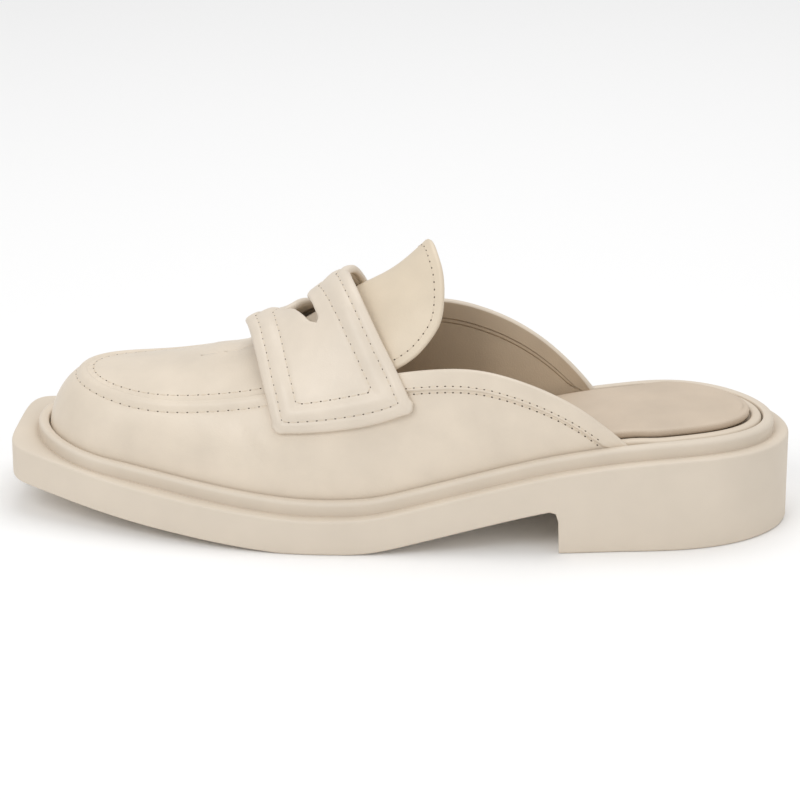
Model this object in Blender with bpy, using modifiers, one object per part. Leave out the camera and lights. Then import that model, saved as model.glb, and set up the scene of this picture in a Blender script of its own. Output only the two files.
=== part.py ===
"""A left penny mule: moulded block-heel sole, footbed, padded sock, leather upper, tongue and saddle strap.

The toe points to -X, the heel to +X, the outer (lateral) side to -Y and the inner (medial) side to +Y.
The ground is Z = 0, and the origin lies under the middle of the sole. Lengths are in metres.
"""
import math
from collections import namedtuple

import bmesh
import bpy
import numpy as np

# Sole
LENGTH = 0.267
WIDTH = 0.104
SLAB = 0.0126
HEEL_LIFT = 0.0196
TOE_SPRING = 0.0125
TOE_CORNER = 0.009
HEEL_ROUND = 0.053
BREAST_SLANT = 0.0045
BREAST_SPREAD = 0.09
SLAB_EDGE = 0.0007
TREAD_EDGE = 0.0010

# Ledge and rim that run round the top of the sole
LEDGE = 0.0052
TOE_LEDGE = 0.0074
RIM_WIDTH = 0.0036
RIM_HEIGHT = 0.0046
RIM_ROUND = 0.0016
CLEARANCE = 0.0003

# Last, the form of the foot inside the rim
LAST_TOE_ROUND = 0.026
UPPER_WALL = 0.0020

# Footbed and sock
BEAD_WIDTH = 0.0036
BEAD_ROUND = 0.0010
SOCK_THICKNESS = 0.0022
SOCK_ROUND = 0.0009
SOCK_CREVICE = 0.0006
FOOTBED_FADE = 0.012

# Upper, heights above the top of the slab
APRON_WIDTH = 0.056
APRON_ROUND = 0.046
TOE_CAP = 0.0130
TOE_CAP_FADE = 0.018
INSTEP = 0.0800
SEAM_RISE = 0.0009
SEAM_WIDTH = 0.0042
BAND_RISE = 0.0006
BAND_WIDTH = 0.0068
BAND_STEP = 0.0008
BAND_FADE = 0.003
SEAM_STARTS, SEAM_FULL = 0.660, 0.685
BAND_FULL, BAND_ENDS = 0.490, 0.515
TONGUE_WALL = 0.0022
TONGUE_ROOT = 0.5884
SIDE_GAP = 0.0006

# Saddle strap
STRAP_WALL = 0.0028
STRAP_LIFT = 0.0066
STRAP_SIT = 0.0004
STRAP_FRONT = 0.6985
STRAP_FRONT_LATERAL = 0.6440
STRAP_FRONT_MEDIAL = 0.6620
STRAP_BACK = 0.5690
STRAP_BACK_LATERAL = 0.4700
STRAP_BACK_MEDIAL = 0.5150
STRAP_END_FRONT = 0.0249
STRAP_END_BACK = 0.0306
STRAP_EDGE = 0.0008
STRAP_SETTLE_LATERAL = 0.85
STRAP_SETTLE_MEDIAL = 0.50
STRAP_SMOOTHING = 0.004
SLOT_REACH = 0.31

# Mesh steps
SOLE_STEPS = 46
QUARTER_STEPS = 11
VAMP_STEPS = 17
APRON_COLUMNS = 12
APRON_TIP = 4
RIB_STEPS = 32
SECTION_STEPS = 24
TONGUE_COLUMNS = 16
TONGUE_STEPS = 9
STRAP_COLUMNS = 13
SLOT_COLUMNS = 7
STRAP_FRONT_ROWS = (0.0, 0.2, 0.45, 0.75, 1.0)
STRAP_BACK_ROWS = (0.0, 0.33, 0.67, 1.0)
SHARP_DEGREES = 40
EDGE_DEGREES = 55

HEEL_X = LENGTH / 2
TOE_X = -LENGTH / 2
LATERAL, MEDIAL = -1, 1
LAST_INSET = LEDGE + RIM_WIDTH + CLEARANCE

# Plan of the slab: share of the length from the heel, then each half width as a share of half the width
PlanRow = namedtuple("PlanRow", "along lateral medial")
SOLE_PLAN = [
    PlanRow(0.000, 0.735, 0.735),
    PlanRow(0.100, 0.735, 0.730),
    PlanRow(0.190, 0.745, 0.715),
    PlanRow(0.276, 0.815, 0.665),
    PlanRow(0.350, 0.848, 0.640),
    PlanRow(0.425, 0.900, 0.660),
    PlanRow(0.500, 0.958, 0.745),
    PlanRow(0.560, 0.990, 0.835),
    PlanRow(0.610, 1.000, 0.915),
    PlanRow(0.660, 0.987, 0.975),
    PlanRow(0.710, 0.955, 1.000),
    PlanRow(0.760, 0.902, 0.975),
    PlanRow(0.810, 0.832, 0.905),
    PlanRow(0.875, 0.721, 0.775),
    PlanRow(0.950, 0.560, 0.590),
    PlanRow(1.000, 0.450, 0.450),
]

# Plan of the last: share of its own length from the heel, half widths as shares of half its width
LAST_PLAN = [
    PlanRow(0.000, 0.680, 0.680),
    PlanRow(0.100, 0.680, 0.675),
    PlanRow(0.168, 0.690, 0.655),
    PlanRow(0.262, 0.775, 0.590),
    PlanRow(0.343, 0.816, 0.555),
    PlanRow(0.424, 0.880, 0.585),
    PlanRow(0.505, 0.952, 0.685),
    PlanRow(0.586, 0.995, 0.825),
    PlanRow(0.640, 0.995, 0.925),
    PlanRow(0.690, 0.970, 0.985),
    PlanRow(0.735, 0.925, 0.990),
    PlanRow(0.785, 0.855, 0.940),
    PlanRow(0.840, 0.765, 0.855),
    PlanRow(0.900, 0.690, 0.765),
    PlanRow(1.000, 0.620, 0.660),
]

# Side view of the sole: share of the heel lift and of the toe spring under the slab
LiftRow = namedtuple("LiftRow", "along heel toe")
SOLE_LIFT = [
    LiftRow(0.000, 0.945, 0.000),
    LiftRow(0.060, 0.985, 0.000),
    LiftRow(0.100, 1.000, 0.000),
    LiftRow(0.150, 0.985, 0.000),
    LiftRow(0.220, 0.900, 0.000),
    LiftRow(0.284, 0.785, 0.000),
    LiftRow(0.355, 0.560, 0.000),
    LiftRow(0.420, 0.340, 0.000),
    LiftRow(0.484, 0.130, 0.000),
    LiftRow(0.520, 0.030, 0.000),
    LiftRow(0.545, 0.000, 0.000),
    LiftRow(0.631, 0.000, 0.000),
    LiftRow(0.656, 0.000, 0.040),
    LiftRow(0.702, 0.000, 0.130),
    LiftRow(0.752, 0.000, 0.240),
    LiftRow(0.815, 0.000, 0.385),
    LiftRow(0.871, 0.000, 0.545),
    LiftRow(0.931, 0.000, 0.745),
    LiftRow(1.000, 0.000, 1.000),
]
FLAT_FROM, FLAT_TO = 0.545, 0.631

# Heel breast, from the tread up: share of the sole's length, share of the lift under the slab there
BreastRow = namedtuple("BreastRow", "along up")
HEEL_BREAST = [
    BreastRow(0.2840, 0.00),
    BreastRow(0.2852, 0.72),
    BreastRow(0.2885, 0.93),
    BreastRow(0.2960, 1.00),
]

# Upper edge of the sides of the upper: the topline at the back, the apron seam in front.
# Share of the sole's length, half width as a share of half the apron, height as a share of the instep.
TopRow = namedtuple("TopRow", "along out up")
LATERAL_TOP = [
    TopRow(0.200, 1.060, 0.036),
    TopRow(0.224, 1.082, 0.118),
    TopRow(0.258, 1.115, 0.222),
    TopRow(0.297, 1.132, 0.318),
    TopRow(0.339, 1.115, 0.404),
    TopRow(0.390, 1.085, 0.484),
    TopRow(0.440, 1.050, 0.522),
    TopRow(0.490, 1.030, 0.538),
    TopRow(0.540, 1.020, 0.535),
    TopRow(0.600, 1.010, 0.496),
    TopRow(0.680, 1.000, 0.415),
    TopRow(0.740, 0.980, 0.368),
    TopRow(0.800, 0.960, 0.332),
    TopRow(0.860, 0.960, 0.315),
    TopRow(0.910, 0.970, 0.312),
]
MEDIAL_TOP = [
    TopRow(0.250, 0.915, 0.036),
    TopRow(0.269, 0.890, 0.131),
    TopRow(0.290, 0.878, 0.220),
    TopRow(0.310, 0.875, 0.295),
    TopRow(0.350, 0.878, 0.420),
    TopRow(0.400, 0.905, 0.530),
    TopRow(0.449, 0.945, 0.598),
    TopRow(0.490, 0.970, 0.618),
    TopRow(0.540, 0.990, 0.600),
    TopRow(0.600, 1.000, 0.545),
    TopRow(0.680, 1.000, 0.440),
    TopRow(0.740, 0.985, 0.380),
    TopRow(0.800, 0.970, 0.336),
    TopRow(0.860, 0.970, 0.318),
    TopRow(0.910, 0.980, 0.313),
]

# Ridge line over the middle: share of the sole's length, height as a share of the instep,
# and the power that makes the crown across it peaked or full
CrestRow = namedtuple("CrestRow", "along up power")
CREST = [
    CrestRow(0.400, 1.190, 1.65),
    CrestRow(0.462, 1.006, 1.65),
    CrestRow(0.505, 0.899, 1.65),
    CrestRow(0.550, 0.823, 1.67),
    CrestRow(0.590, 0.732, 1.75),
    CrestRow(0.650, 0.588, 2.00),
    CrestRow(0.710, 0.494, 2.20),
    CrestRow(0.760, 0.436, 2.20),
    CrestRow(0.810, 0.388, 2.20),
    CrestRow(0.860, 0.348, 2.20),
    CrestRow(0.912, 0.316, 2.20),
]

# How far round an elliptic arc each side wall has turned at its top, in degrees
TurnRow = namedtuple("TurnRow", "along degrees")
WALL_TURN = [
    TurnRow(0.19, 35.0),
    TurnRow(0.48, 42.0),
    TurnRow(0.60, 50.0),
    TurnRow(0.72, 64.0),
    TurnRow(0.96, 72.0),
]

# Free edge of the tongue: share of the way out from its middle line, then share of the sole's length
EdgeRow = namedtuple("EdgeRow", "out lateral medial")
TONGUE_EDGE = [
    EdgeRow(0.00, 0.4640, 0.4640),
    EdgeRow(0.14, 0.4585, 0.4690),
    EdgeRow(0.33, 0.4508, 0.4760),
    EdgeRow(0.48, 0.4440, 0.4840),
    EdgeRow(0.62, 0.4404, 0.4920),
    EdgeRow(0.72, 0.4403, 0.4990),
    EdgeRow(0.80, 0.4445, 0.5060),
    EdgeRow(0.88, 0.4590, 0.5130),
    EdgeRow(0.94, 0.4760, 0.5185),
    EdgeRow(1.00, 0.5060, 0.5230),
]

# Slot in the strap: share of its reach out from the middle, then its edges as shares of the strap's width
SlotRow = namedtuple("SlotRow", "out front back")
SLOT = [
    SlotRow(0.00, 0.355, 0.620),
    SlotRow(0.10, 0.400, 0.620),
    SlotRow(0.35, 0.445, 0.620),
    SlotRow(0.70, 0.480, 0.618),
    SlotRow(0.90, 0.520, 0.605),
    SlotRow(1.00, 0.570, 0.570),
]

# How high the strap stands off the vamp over its middle: share of its width, share of the lift
StandRow = namedtuple("StandRow", "across up")
STRAP_STAND = [
    StandRow(0.00, 1.12),
    StandRow(0.36, 0.86),
    StandRow(0.62, 1.00),
    StandRow(1.00, 1.04),
]


def smooth_curve(table, column):
    """Natural cubic spline through one column of a table, over its first column."""
    knots = np.array([row[0] for row in table])
    values = np.array([getattr(row, column) for row in table])
    count = len(knots)
    gaps = np.diff(knots)
    slopes = np.diff(values) / gaps
    system = np.eye(count)
    right = np.zeros(count)
    for i in range(1, count - 1):
        system[i, i - 1:i + 2] = gaps[i - 1], 2 * (gaps[i - 1] + gaps[i]), gaps[i]
        right[i] = 6 * (slopes[i] - slopes[i - 1])
    bends = np.linalg.solve(system, right)

    def value(at):
        at = min(max(at, knots[0]), knots[-1])
        i = min(int(np.searchsorted(knots, at, side="right")) - 1, count - 2)
        before, after = at - knots[i], knots[i + 1] - at
        curved = (bends[i] * after ** 3 + bends[i + 1] * before ** 3) / (6 * gaps[i])
        start = (values[i] / gaps[i] - bends[i] * gaps[i] / 6) * after
        end = (values[i + 1] / gaps[i] - bends[i + 1] * gaps[i] / 6) * before
        return float(curved + start + end)

    return value


def blend(start, end, share):
    return start + (end - start) * share


def ease(low, high, at):
    """0 below low, 1 above high, and a smooth step between them."""
    share = min(max((at - low) / (high - low), 0.0), 1.0)
    return share * share * (3 - 2 * share)


def along(x):
    """Share of the sole's length from the heel."""
    return (HEEL_X - x) / LENGTH


HEEL_SHARE = smooth_curve(SOLE_LIFT, "heel")
TOE_SHARE = smooth_curve(SOLE_LIFT, "toe")


def lift(share):
    """Height of the slab's underside."""
    if FLAT_FROM <= share <= FLAT_TO:
        return 0.0
    return max(0.0, HEEL_LIFT * HEEL_SHARE(share) + TOE_SPRING * TOE_SHARE(share))


def slab_top(x):
    share = along(x)
    return SLAB + HEEL_LIFT * HEEL_SHARE(share) + TOE_SPRING * TOE_SHARE(share)


class Outline:
    """A closed plan outline with its ends on the middle line, from half widths on each side."""

    def __init__(self, table, half_width, heel_x, toe_x, heel_round, toe_round, toe_power):
        self.base = {LATERAL: smooth_curve(table, "lateral"), MEDIAL: smooth_curve(table, "medial")}
        self.half_width = half_width
        self.heel_x, self.toe_x = heel_x, toe_x
        self.heel_round, self.toe_round, self.toe_power = heel_round, toe_round, toe_power

    def half(self, side, x):
        share = (self.heel_x - x) / (self.heel_x - self.toe_x)
        from_heel = min(max((self.heel_x - x) / self.heel_round, 0.0), 1.0)
        from_toe = min(max((x - self.toe_x) / self.toe_round, 0.0), 1.0)
        heel = math.sqrt(1 - (1 - from_heel) ** 2)
        toe = (1 - (1 - from_toe) ** self.toe_power) ** (1 / self.toe_power)
        return self.base[side](share) * self.half_width * heel * toe

    def ring(self, shares, grow=0.0, shift=None):
        """Points round the outline, lateral side first, each moved outwards by grow."""
        xs = [blend(self.heel_x, self.toe_x, share) for share in shares]
        lateral = [(x, -self.half(LATERAL, x)) for x in xs]
        moved = [x + (shift(x) if shift else 0.0) for x in xs[1:-1]]
        medial = [(x, self.half(MEDIAL, x)) for x in moved]
        loop = np.array(lateral + medial[::-1])
        tangents = np.roll(loop, -1, axis=0) - np.roll(loop, 1, axis=0)
        normals = np.column_stack([tangents[:, 1], -tangents[:, 0]])
        normals = -normals / np.linalg.norm(normals, axis=1)[:, None]
        grown = [grow(point[0]) if callable(grow) else grow for point in loop]
        return loop + normals * np.array(grown)[:, None]


SOLE = Outline(SOLE_PLAN, WIDTH / 2, HEEL_X, TOE_X, HEEL_ROUND, TOE_CORNER, 4.0)
LAST = Outline(
    LAST_PLAN, WIDTH / 2 - LAST_INSET, HEEL_X - LAST_INSET, TOE_X + TOE_LEDGE + RIM_WIDTH + CLEARANCE,
    HEEL_ROUND - LAST_INSET, LAST_TOE_ROUND, 2.0,
)


def end_spaced(steps):
    """Shares from 0 to 1, close together near both ends."""
    return [(1 - math.cos(math.pi * i / steps)) / 2 for i in range(steps + 1)]


def collect(name, obj):
    material = bpy.data.materials.new(name)
    material.use_nodes = True
    shader = material.node_tree.nodes["Principled BSDF"]
    color, roughness = COLORS[name]
    shader.inputs["Base Color"].default_value = (*color, 1.0)
    shader.inputs["Roughness"].default_value = roughness
    shader.inputs["Metallic"].default_value = 0.0
    obj.data.materials.append(material)
    obj.data.shade_smooth()
    obj.data.set_sharp_from_angle(angle=math.radians(SHARP_DEGREES))
    PARTS.objects.link(obj)
    return obj


def mesh_object(name, bm):
    """An object from a bmesh, with doubled points joined and faces turned outwards."""
    bmesh.ops.remove_doubles(bm, verts=bm.verts, dist=1e-5)
    bmesh.ops.recalc_face_normals(bm, faces=bm.faces)
    mesh = bpy.data.meshes.new(name)
    bm.to_mesh(mesh)
    bm.free()
    return bpy.data.objects.new(name, mesh)


def add_loop(bm, points):
    return [bm.verts.new(point) for point in points]


def bridge(bm, first, second):
    """Quads between two closed loops with the same number of points."""
    count = len(first)
    for i in range(count):
        j = (i + 1) % count
        bm.faces.new((first[i], first[j], second[j], second[i]))


def ladder(bm, loop, stations):
    """Cap a loop with rungs from its lateral to its medial points."""
    last = stations - 1
    count = len(loop)
    bm.faces.new((loop[0], loop[1], loop[-1]))
    for i in range(1, last - 1):
        bm.faces.new((loop[i], loop[i + 1], loop[count - i - 1], loop[count - i]))
    bm.faces.new((loop[last - 1], loop[last], loop[last + 1]))


def stacked(name, rings, stations):
    """A closed solid from rings of points, the first and last capped."""
    bm = bmesh.new()
    loops = [add_loop(bm, ring) for ring in rings]
    for lower, upper in zip(loops, loops[1:]):
        bridge(bm, lower, upper)
    ladder(bm, loops[0], stations)
    ladder(bm, loops[-1], stations)
    return mesh_object(name, bm)


def raised(ring, height):
    """The ring at a height above the slab's top."""
    return [(x, y, slab_top(x) + height) for x, y in ring]


def breast_shift(x):
    """The heel breast runs aslant, further forward on the medial side."""
    apart = (along(x) - HEEL_BREAST[0].along) / BREAST_SPREAD
    return -BREAST_SLANT * math.exp(-apart * apart)


def tread_height(share):
    """Underside of the sole: the heel block stands on the ground behind its breast."""
    if share <= HEEL_BREAST[0].along:
        return 0.0
    for low, high in zip(HEEL_BREAST, HEEL_BREAST[1:]):
        if share <= high.along:
            part = (share - low.along) / (high.along - low.along)
            return blend(low.up, high.up, part) * lift(share)
    return lift(share)


def outsole_shares():
    """Stations along the sole, with one at each corner of the breast and each end of the flat."""
    first, last = HEEL_BREAST[0].along, HEEL_BREAST[-1].along
    fixed = [row.along for row in HEEL_BREAST] + [FLAT_FROM, FLAT_TO]
    room = 0.3 / SOLE_STEPS
    free = [
        share for share in end_spaced(SOLE_STEPS)
        if not first - room < share < last + room and min(abs(share - at) for at in fixed) > room
    ]
    return sorted(free + fixed)


def make_outsole():
    shares = outsole_shares()
    inner = CLEARANCE
    outer = CLEARANCE + RIM_WIDTH
    profile = [
        (inner, 0.0),
        (inner, RIM_HEIGHT - 0.3 * RIM_ROUND),
        (inner + 0.3 * RIM_ROUND, RIM_HEIGHT),
        (outer - RIM_ROUND, RIM_HEIGHT),
        (outer - 0.3 * RIM_ROUND, RIM_HEIGHT - 0.3 * RIM_ROUND),
        (outer, RIM_HEIGHT - RIM_ROUND),
        (outer, 0.0),
    ]
    rings = [raised(LAST.ring(shares, grow), height) for grow, height in profile]
    edge = SOLE.ring(shares, -SLAB_EDGE, breast_shift)
    side = SOLE.ring(shares, 0.0, breast_shift)
    foot = SOLE.ring(shares, -TREAD_EDGE, breast_shift)
    around = shares + shares[-2:0:-1]
    rings.append(raised(edge, 0.0))
    rings.append(raised(side, -SLAB_EDGE))
    rings.append([(x, y, tread_height(share) + TREAD_EDGE) for (x, y), share in zip(side, around)])
    rings.append([(x, y, tread_height(share)) for (x, y), share in zip(foot, around)])
    return collect("outsole", stacked("outsole", rings, len(shares)))


def footbed_inset(x):
    """Room for the upper's wall in front, and only a crevice at the open heel."""
    share = ease(UPPER_END_X, UPPER_END_X + FOOTBED_FADE, x)
    return blend(UPPER_WALL + 2 * CLEARANCE, CLEARANCE, share)


def inside_rim(name, inset, low, high, edge):
    """A flat piece inside the rim with a rounded upper edge."""
    shares = end_spaced(SOLE_STEPS)
    profile = [(0.0, low), (0.0, high - edge), (0.3 * edge, high - 0.3 * edge), (edge, high)]
    rings = [
        raised(LAST.ring(shares, lambda x: -footbed_inset(x) - inset - further), height)
        for further, height in profile
    ]
    return collect(name, stacked(name, rings, len(shares)))


def make_midsole():
    return inside_rim("midsole", 0.0, CLEARANCE, RIM_HEIGHT, BEAD_ROUND)


def make_insole():
    low = RIM_HEIGHT + CLEARANCE
    return inside_rim("insole", BEAD_WIDTH + SOCK_CREVICE, low, low + SOCK_THICKNESS, SOCK_ROUND)


TOP = {
    LATERAL: (smooth_curve(LATERAL_TOP, "out"), smooth_curve(LATERAL_TOP, "up")),
    MEDIAL: (smooth_curve(MEDIAL_TOP, "out"), smooth_curve(MEDIAL_TOP, "up")),
}
TOP_ROWS = {LATERAL: LATERAL_TOP, MEDIAL: MEDIAL_TOP}
CREST_UP = smooth_curve(CREST, "up")
CREST_POWER = smooth_curve(CREST, "power")
TURN = smooth_curve(WALL_TURN, "degrees")
TONGUE_REACH = {
    LATERAL: smooth_curve(TONGUE_EDGE, "lateral"),
    MEDIAL: smooth_curve(TONGUE_EDGE, "medial"),
}
SLOT_FRONT = smooth_curve(SLOT, "front")
SLOT_BACK = smooth_curve(SLOT, "back")
STAND = smooth_curve(STRAP_STAND, "up")
STRAP_ENDS = {
    LATERAL: (STRAP_FRONT_LATERAL, STRAP_BACK_LATERAL),
    MEDIAL: (STRAP_FRONT_MEDIAL, STRAP_BACK_MEDIAL),
}
STRAP_SETTLE = {LATERAL: STRAP_SETTLE_LATERAL, MEDIAL: STRAP_SETTLE_MEDIAL}
APRON_TOE_X = LAST.toe_x + TOE_CAP
UPPER_END_X = HEEL_X - LATERAL_TOP[0].along * LENGTH
ROOT_X = HEEL_X - TONGUE_ROOT * LENGTH


def top_point(side, x):
    """The topline or apron seam on one side."""
    out, up = TOP[side]
    from_toe = min(max((x - APRON_TOE_X) / APRON_ROUND, 0.0), 1.0)
    closing = math.sqrt(1 - (1 - from_toe) ** 2)
    half = out(along(x)) * APRON_WIDTH / 2 * closing
    return np.array([x, side * half, slab_top(x) + up(along(x)) * INSTEP])


def seam_x(x):
    """Station on the topline or apron seam above a station on the feather line."""
    return x + TOE_CAP * math.exp(-(x - LAST.toe_x) / TOE_CAP_FADE)


def wall_points(side, x, steps=RIB_STEPS):
    """One rib of a side wall, from the feather line at x up to the seam or topline."""
    low = np.array([x, side * LAST.half(side, x), slab_top(x) + CLEARANCE])
    high = top_point(side, seam_x(x))
    turn = math.radians(TURN(along(x)))
    rib = []
    for i in range(steps + 1):
        angle = turn * i / steps
        across = (1 - math.cos(angle)) / (1 - math.cos(turn))
        up = math.sin(angle) / math.sin(turn)
        rib.append(np.array([*blend(low[:2], high[:2], across), blend(low[2], high[2], up)]))
    return np.array(rib)


def by_length(points, distances):
    """Points at given distances along a polyline."""
    lengths = np.concatenate([[0.0], np.cumsum(np.linalg.norm(np.diff(points, axis=0), axis=1))])
    return np.column_stack([np.interp(distances, lengths, points[:, axis]) for axis in range(3)])


def path_length(points):
    return float(np.linalg.norm(np.diff(points, axis=0), axis=1).sum())


def apron_point(x, out):
    """The apron and tongue between the two seams; out runs from -1, lateral, to 1, medial."""
    lateral, medial = top_point(LATERAL, x), top_point(MEDIAL, x)
    base = blend(lateral, medial, (1 + out) / 2)
    crest = slab_top(x) + CREST_UP(along(x)) * INSTEP
    rise = crest - (lateral[2] + medial[2]) / 2
    return np.array([x, base[1], base[2] + rise * (1 - abs(out) ** CREST_POWER(along(x)))])


def wall_xs(side):
    """Feather-line stations from the back end of a side to the toe."""
    back = HEEL_X - TOP_ROWS[side][0].along * LENGTH
    quarter = [blend(back, ROOT_X, i / QUARTER_STEPS) for i in range(QUARTER_STEPS)]
    vamp = [
        blend(ROOT_X, LAST.toe_x, math.sin(math.pi / 2 * i / VAMP_STEPS))
        for i in range(VAMP_STEPS + 1)
    ]
    return quarter + vamp


def wall_rows(height):
    """Distances down from the top edge, finer over the seam and the band's step."""
    fine = [SEAM_WIDTH * share for share in (0.0, 0.25, 0.5, 0.75, 1.0)]
    fine += [BAND_WIDTH, BAND_WIDTH + BAND_STEP]
    squeeze = min(1.0, 0.8 * height / fine[-1])
    fine = [squeeze * distance for distance in fine]
    rest = [blend(fine[-1], height, share) for share in (0.25, 0.5, 0.75, 0.9, 1.0)]
    return fine + rest


def seam_rise(share):
    """The apron seam sinks flat under the strap."""
    return SEAM_RISE * ease(SEAM_STARTS, SEAM_FULL, share)


def band_rise(share):
    """The topline band sinks flat under the strap."""
    return BAND_RISE * (1 - ease(BAND_FULL, BAND_ENDS, share))


def relief(x, distance, height):
    """Raised seam in front of the strap, raised topline band behind it, down to the rim."""
    share = along(x)
    seam = seam_rise(share) * max(0.0, math.sin(math.pi * min(distance / SEAM_WIDTH, 1.0)))
    band = band_rise(share) * (1.0 if distance < BAND_WIDTH + BAND_STEP / 2 else 0.0)
    return seam + band * ease(RIM_HEIGHT, RIM_HEIGHT + BAND_FADE, height)


def wall_grid(side):
    """Rows of points down the outside of one wall, for each station from the back to the toe."""
    grid = []
    for x in wall_xs(side):
        rib = wall_points(side, x)[::-1]
        distances = wall_rows(path_length(rib))
        points = by_length(rib, distances)
        slopes = np.gradient(points, axis=0)
        normals = []
        for slope in slopes:
            flat = slope[:2] if np.linalg.norm(slope[:2]) > 1e-7 else np.array([0.0, side])
            normal = np.array([*(flat / np.linalg.norm(flat) * -slope[2]), np.linalg.norm(slope[:2])])
            normals.append(normal / np.linalg.norm(normal))
        heights = points[:, 2] - slab_top(x)
        offsets = [relief(x, distance, height) for distance, height in zip(distances, heights)]
        grid.append(points + np.array(normals) * np.array(offsets)[:, None])
    return grid


def quads(bm, rows):
    """Faces over a grid of points, given as rows."""
    made = [add_loop(bm, row) for row in rows]
    for first, second in zip(made, made[1:]):
        for i in range(len(first) - 1):
            bm.faces.new((first[i], first[i + 1], second[i + 1], second[i]))


def shell(name, bm, thickness, outside):
    """Solidify an open sheet; outside is +1 to grow outwards and -1 to grow inwards."""
    obj = mesh_object(name, bm)
    solidify = obj.modifiers.new("Wall", "SOLIDIFY")
    solidify.thickness = thickness
    solidify.offset = outside
    solidify.use_even_offset = True
    solidify.use_quality_normals = True
    return obj


def make_upper():
    bm = bmesh.new()
    for side in (LATERAL, MEDIAL):
        quads(bm, wall_grid(side))
    outs = [blend(-1.0, 1.0, i / APRON_COLUMNS) for i in range(APRON_COLUMNS + 1)]
    xs = [seam_x(x) for x in wall_xs(LATERAL)[QUARTER_STEPS:]]
    quads(bm, [[apron_point(x, out) for out in outs] for x in xs[:-APRON_TIP]])
    tip = [apron_point(xs[-APRON_TIP - 1], out) for out in outs]
    tip += [top_point(MEDIAL, x) for x in xs[-APRON_TIP:]]
    tip += [top_point(LATERAL, x) for x in xs[-2:-APRON_TIP - 1:-1]]
    bm.faces.new(add_loop(bm, tip))
    return collect("upper", turned_out(shell("upper", bm, UPPER_WALL, -1)))


def turned_out(obj):
    """Turn an open sheet's faces so that the topmost one looks up."""
    mesh = obj.data
    top = max(mesh.polygons, key=lambda face: face.center.z)
    if top.normal.z < 0:
        mesh.flip_normals()
    return obj


def make_tongue():
    bm = bmesh.new()
    limit = 1 - SIDE_GAP / (APRON_WIDTH / 2)
    shares = [blend(-1.0, 1.0, i / TONGUE_COLUMNS) for i in range(TONGUE_COLUMNS + 1)]
    outs = [limit * math.sin(math.pi / 2 * share) for share in shares]
    rows = []
    for i in range(TONGUE_STEPS + 1):
        row = []
        for out in outs:
            side = MEDIAL if out > 0 else LATERAL
            end_x = HEEL_X - TONGUE_REACH[side](abs(out) / limit) * LENGTH
            row.append(apron_point(blend(ROOT_X + 2 * CLEARANCE, end_x, i / TONGUE_STEPS), out))
        rows.append(row)
    quads(bm, rows)
    return collect("tongue", turned_out(shell("tongue", bm, TONGUE_WALL, -1)))


def half_section(side, x):
    """The outside of the upper at x, from the middle line down to the foot of one wall."""
    crown = [apron_point(x, side * i / SECTION_STEPS) for i in range(SECTION_STEPS + 1)]
    wall = wall_points(side, x, SECTION_STEPS)[::-1]
    return np.array(crown + list(wall[1:]))


def strap_point(side, out, across):
    """A point on the strap's underside: out runs from the middle to its end, across from front to back."""
    front_end, back_end = STRAP_ENDS[side]
    front = blend(STRAP_FRONT, front_end, out)
    back = blend(STRAP_BACK, back_end, out)
    x = HEEL_X - blend(front, back, across) * LENGTH
    section = half_section(side, x)
    low = slab_top(x) + blend(STRAP_END_FRONT, STRAP_END_BACK, across)
    end = next(i for i, point in enumerate(section) if point[2] < low)
    share = (section[end - 1][2] - low) / (section[end - 1][2] - section[end][2])
    foot = blend(section[end - 1], section[end], share)
    path = np.array(list(section[:end]) + [foot])
    distance = out * path_length(path)
    middle = by_length(path, [distance])[0]
    before = max(0.0, distance - STRAP_SMOOTHING)
    before, after = by_length(section, [before, distance + STRAP_SMOOTHING])
    slope = after - before
    if distance < STRAP_SMOOTHING:
        slope = slope + np.array([0.0, side * 2 * (STRAP_SMOOTHING - distance), 0.0])
    normal = np.array([0.0, -slope[2] * side, slope[1] * side])
    normal /= np.linalg.norm(normal)
    if normal[1] * side < 0:
        normal[1] = -normal[1]
    share = along(x)
    stand = STRAP_SIT + seam_rise(share) + band_rise(share)
    stand += STRAP_LIFT * STAND(across) * (1 - ease(0.0, STRAP_SETTLE[side], out))
    return middle + normal * stand


def make_strap():
    bm = bmesh.new()
    side_columns = STRAP_COLUMNS - SLOT_COLUMNS
    outs = [SLOT_REACH * i / SLOT_COLUMNS for i in range(SLOT_COLUMNS)]
    outs += [blend(SLOT_REACH, 1.0, i / side_columns) for i in range(side_columns + 1)]
    columns = [(LATERAL, out) for out in outs[::-1]] + [(MEDIAL, out) for out in outs[1:]]
    for shares, pick in ((STRAP_FRONT_ROWS, "front"), (STRAP_BACK_ROWS, "back")):
        rows = []
        for share in shares:
            row = []
            for side, out in columns:
                reach = min(out / SLOT_REACH, 1.0)
                if pick == "front":
                    across = blend(0.0, SLOT_FRONT(reach), share)
                else:
                    across = blend(SLOT_BACK(reach), 1.0, share)
                row.append(strap_point(side, out, across))
            rows.append(row)
        quads(bm, rows)
    obj = turned_out(shell("strap", bm, STRAP_WALL, 1))
    bevel = obj.modifiers.new("Edges", "BEVEL")
    bevel.width = STRAP_EDGE
    bevel.segments = 1
    bevel.limit_method = "ANGLE"
    bevel.angle_limit = math.radians(EDGE_DEGREES)
    return collect("strap", obj)


COLORS = {
    "outsole": ((0.70, 0.61, 0.51), 0.55),
    "midsole": ((0.72, 0.62, 0.51), 0.55),
    "insole": ((0.60, 0.49, 0.38), 0.60),
    "upper": ((0.74, 0.64, 0.53), 0.45),
    "tongue": ((0.71, 0.60, 0.47), 0.45),
    "strap": ((0.74, 0.66, 0.55), 0.45),
}

for existing in list(bpy.data.objects):
    bpy.data.objects.remove(existing, do_unlink=True)
PARTS = bpy.data.collections.new("penny_mule")
bpy.context.scene.collection.children.link(PARTS)

make_outsole()
make_midsole()
make_insole()
make_upper()
make_tongue()
make_strap()
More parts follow.
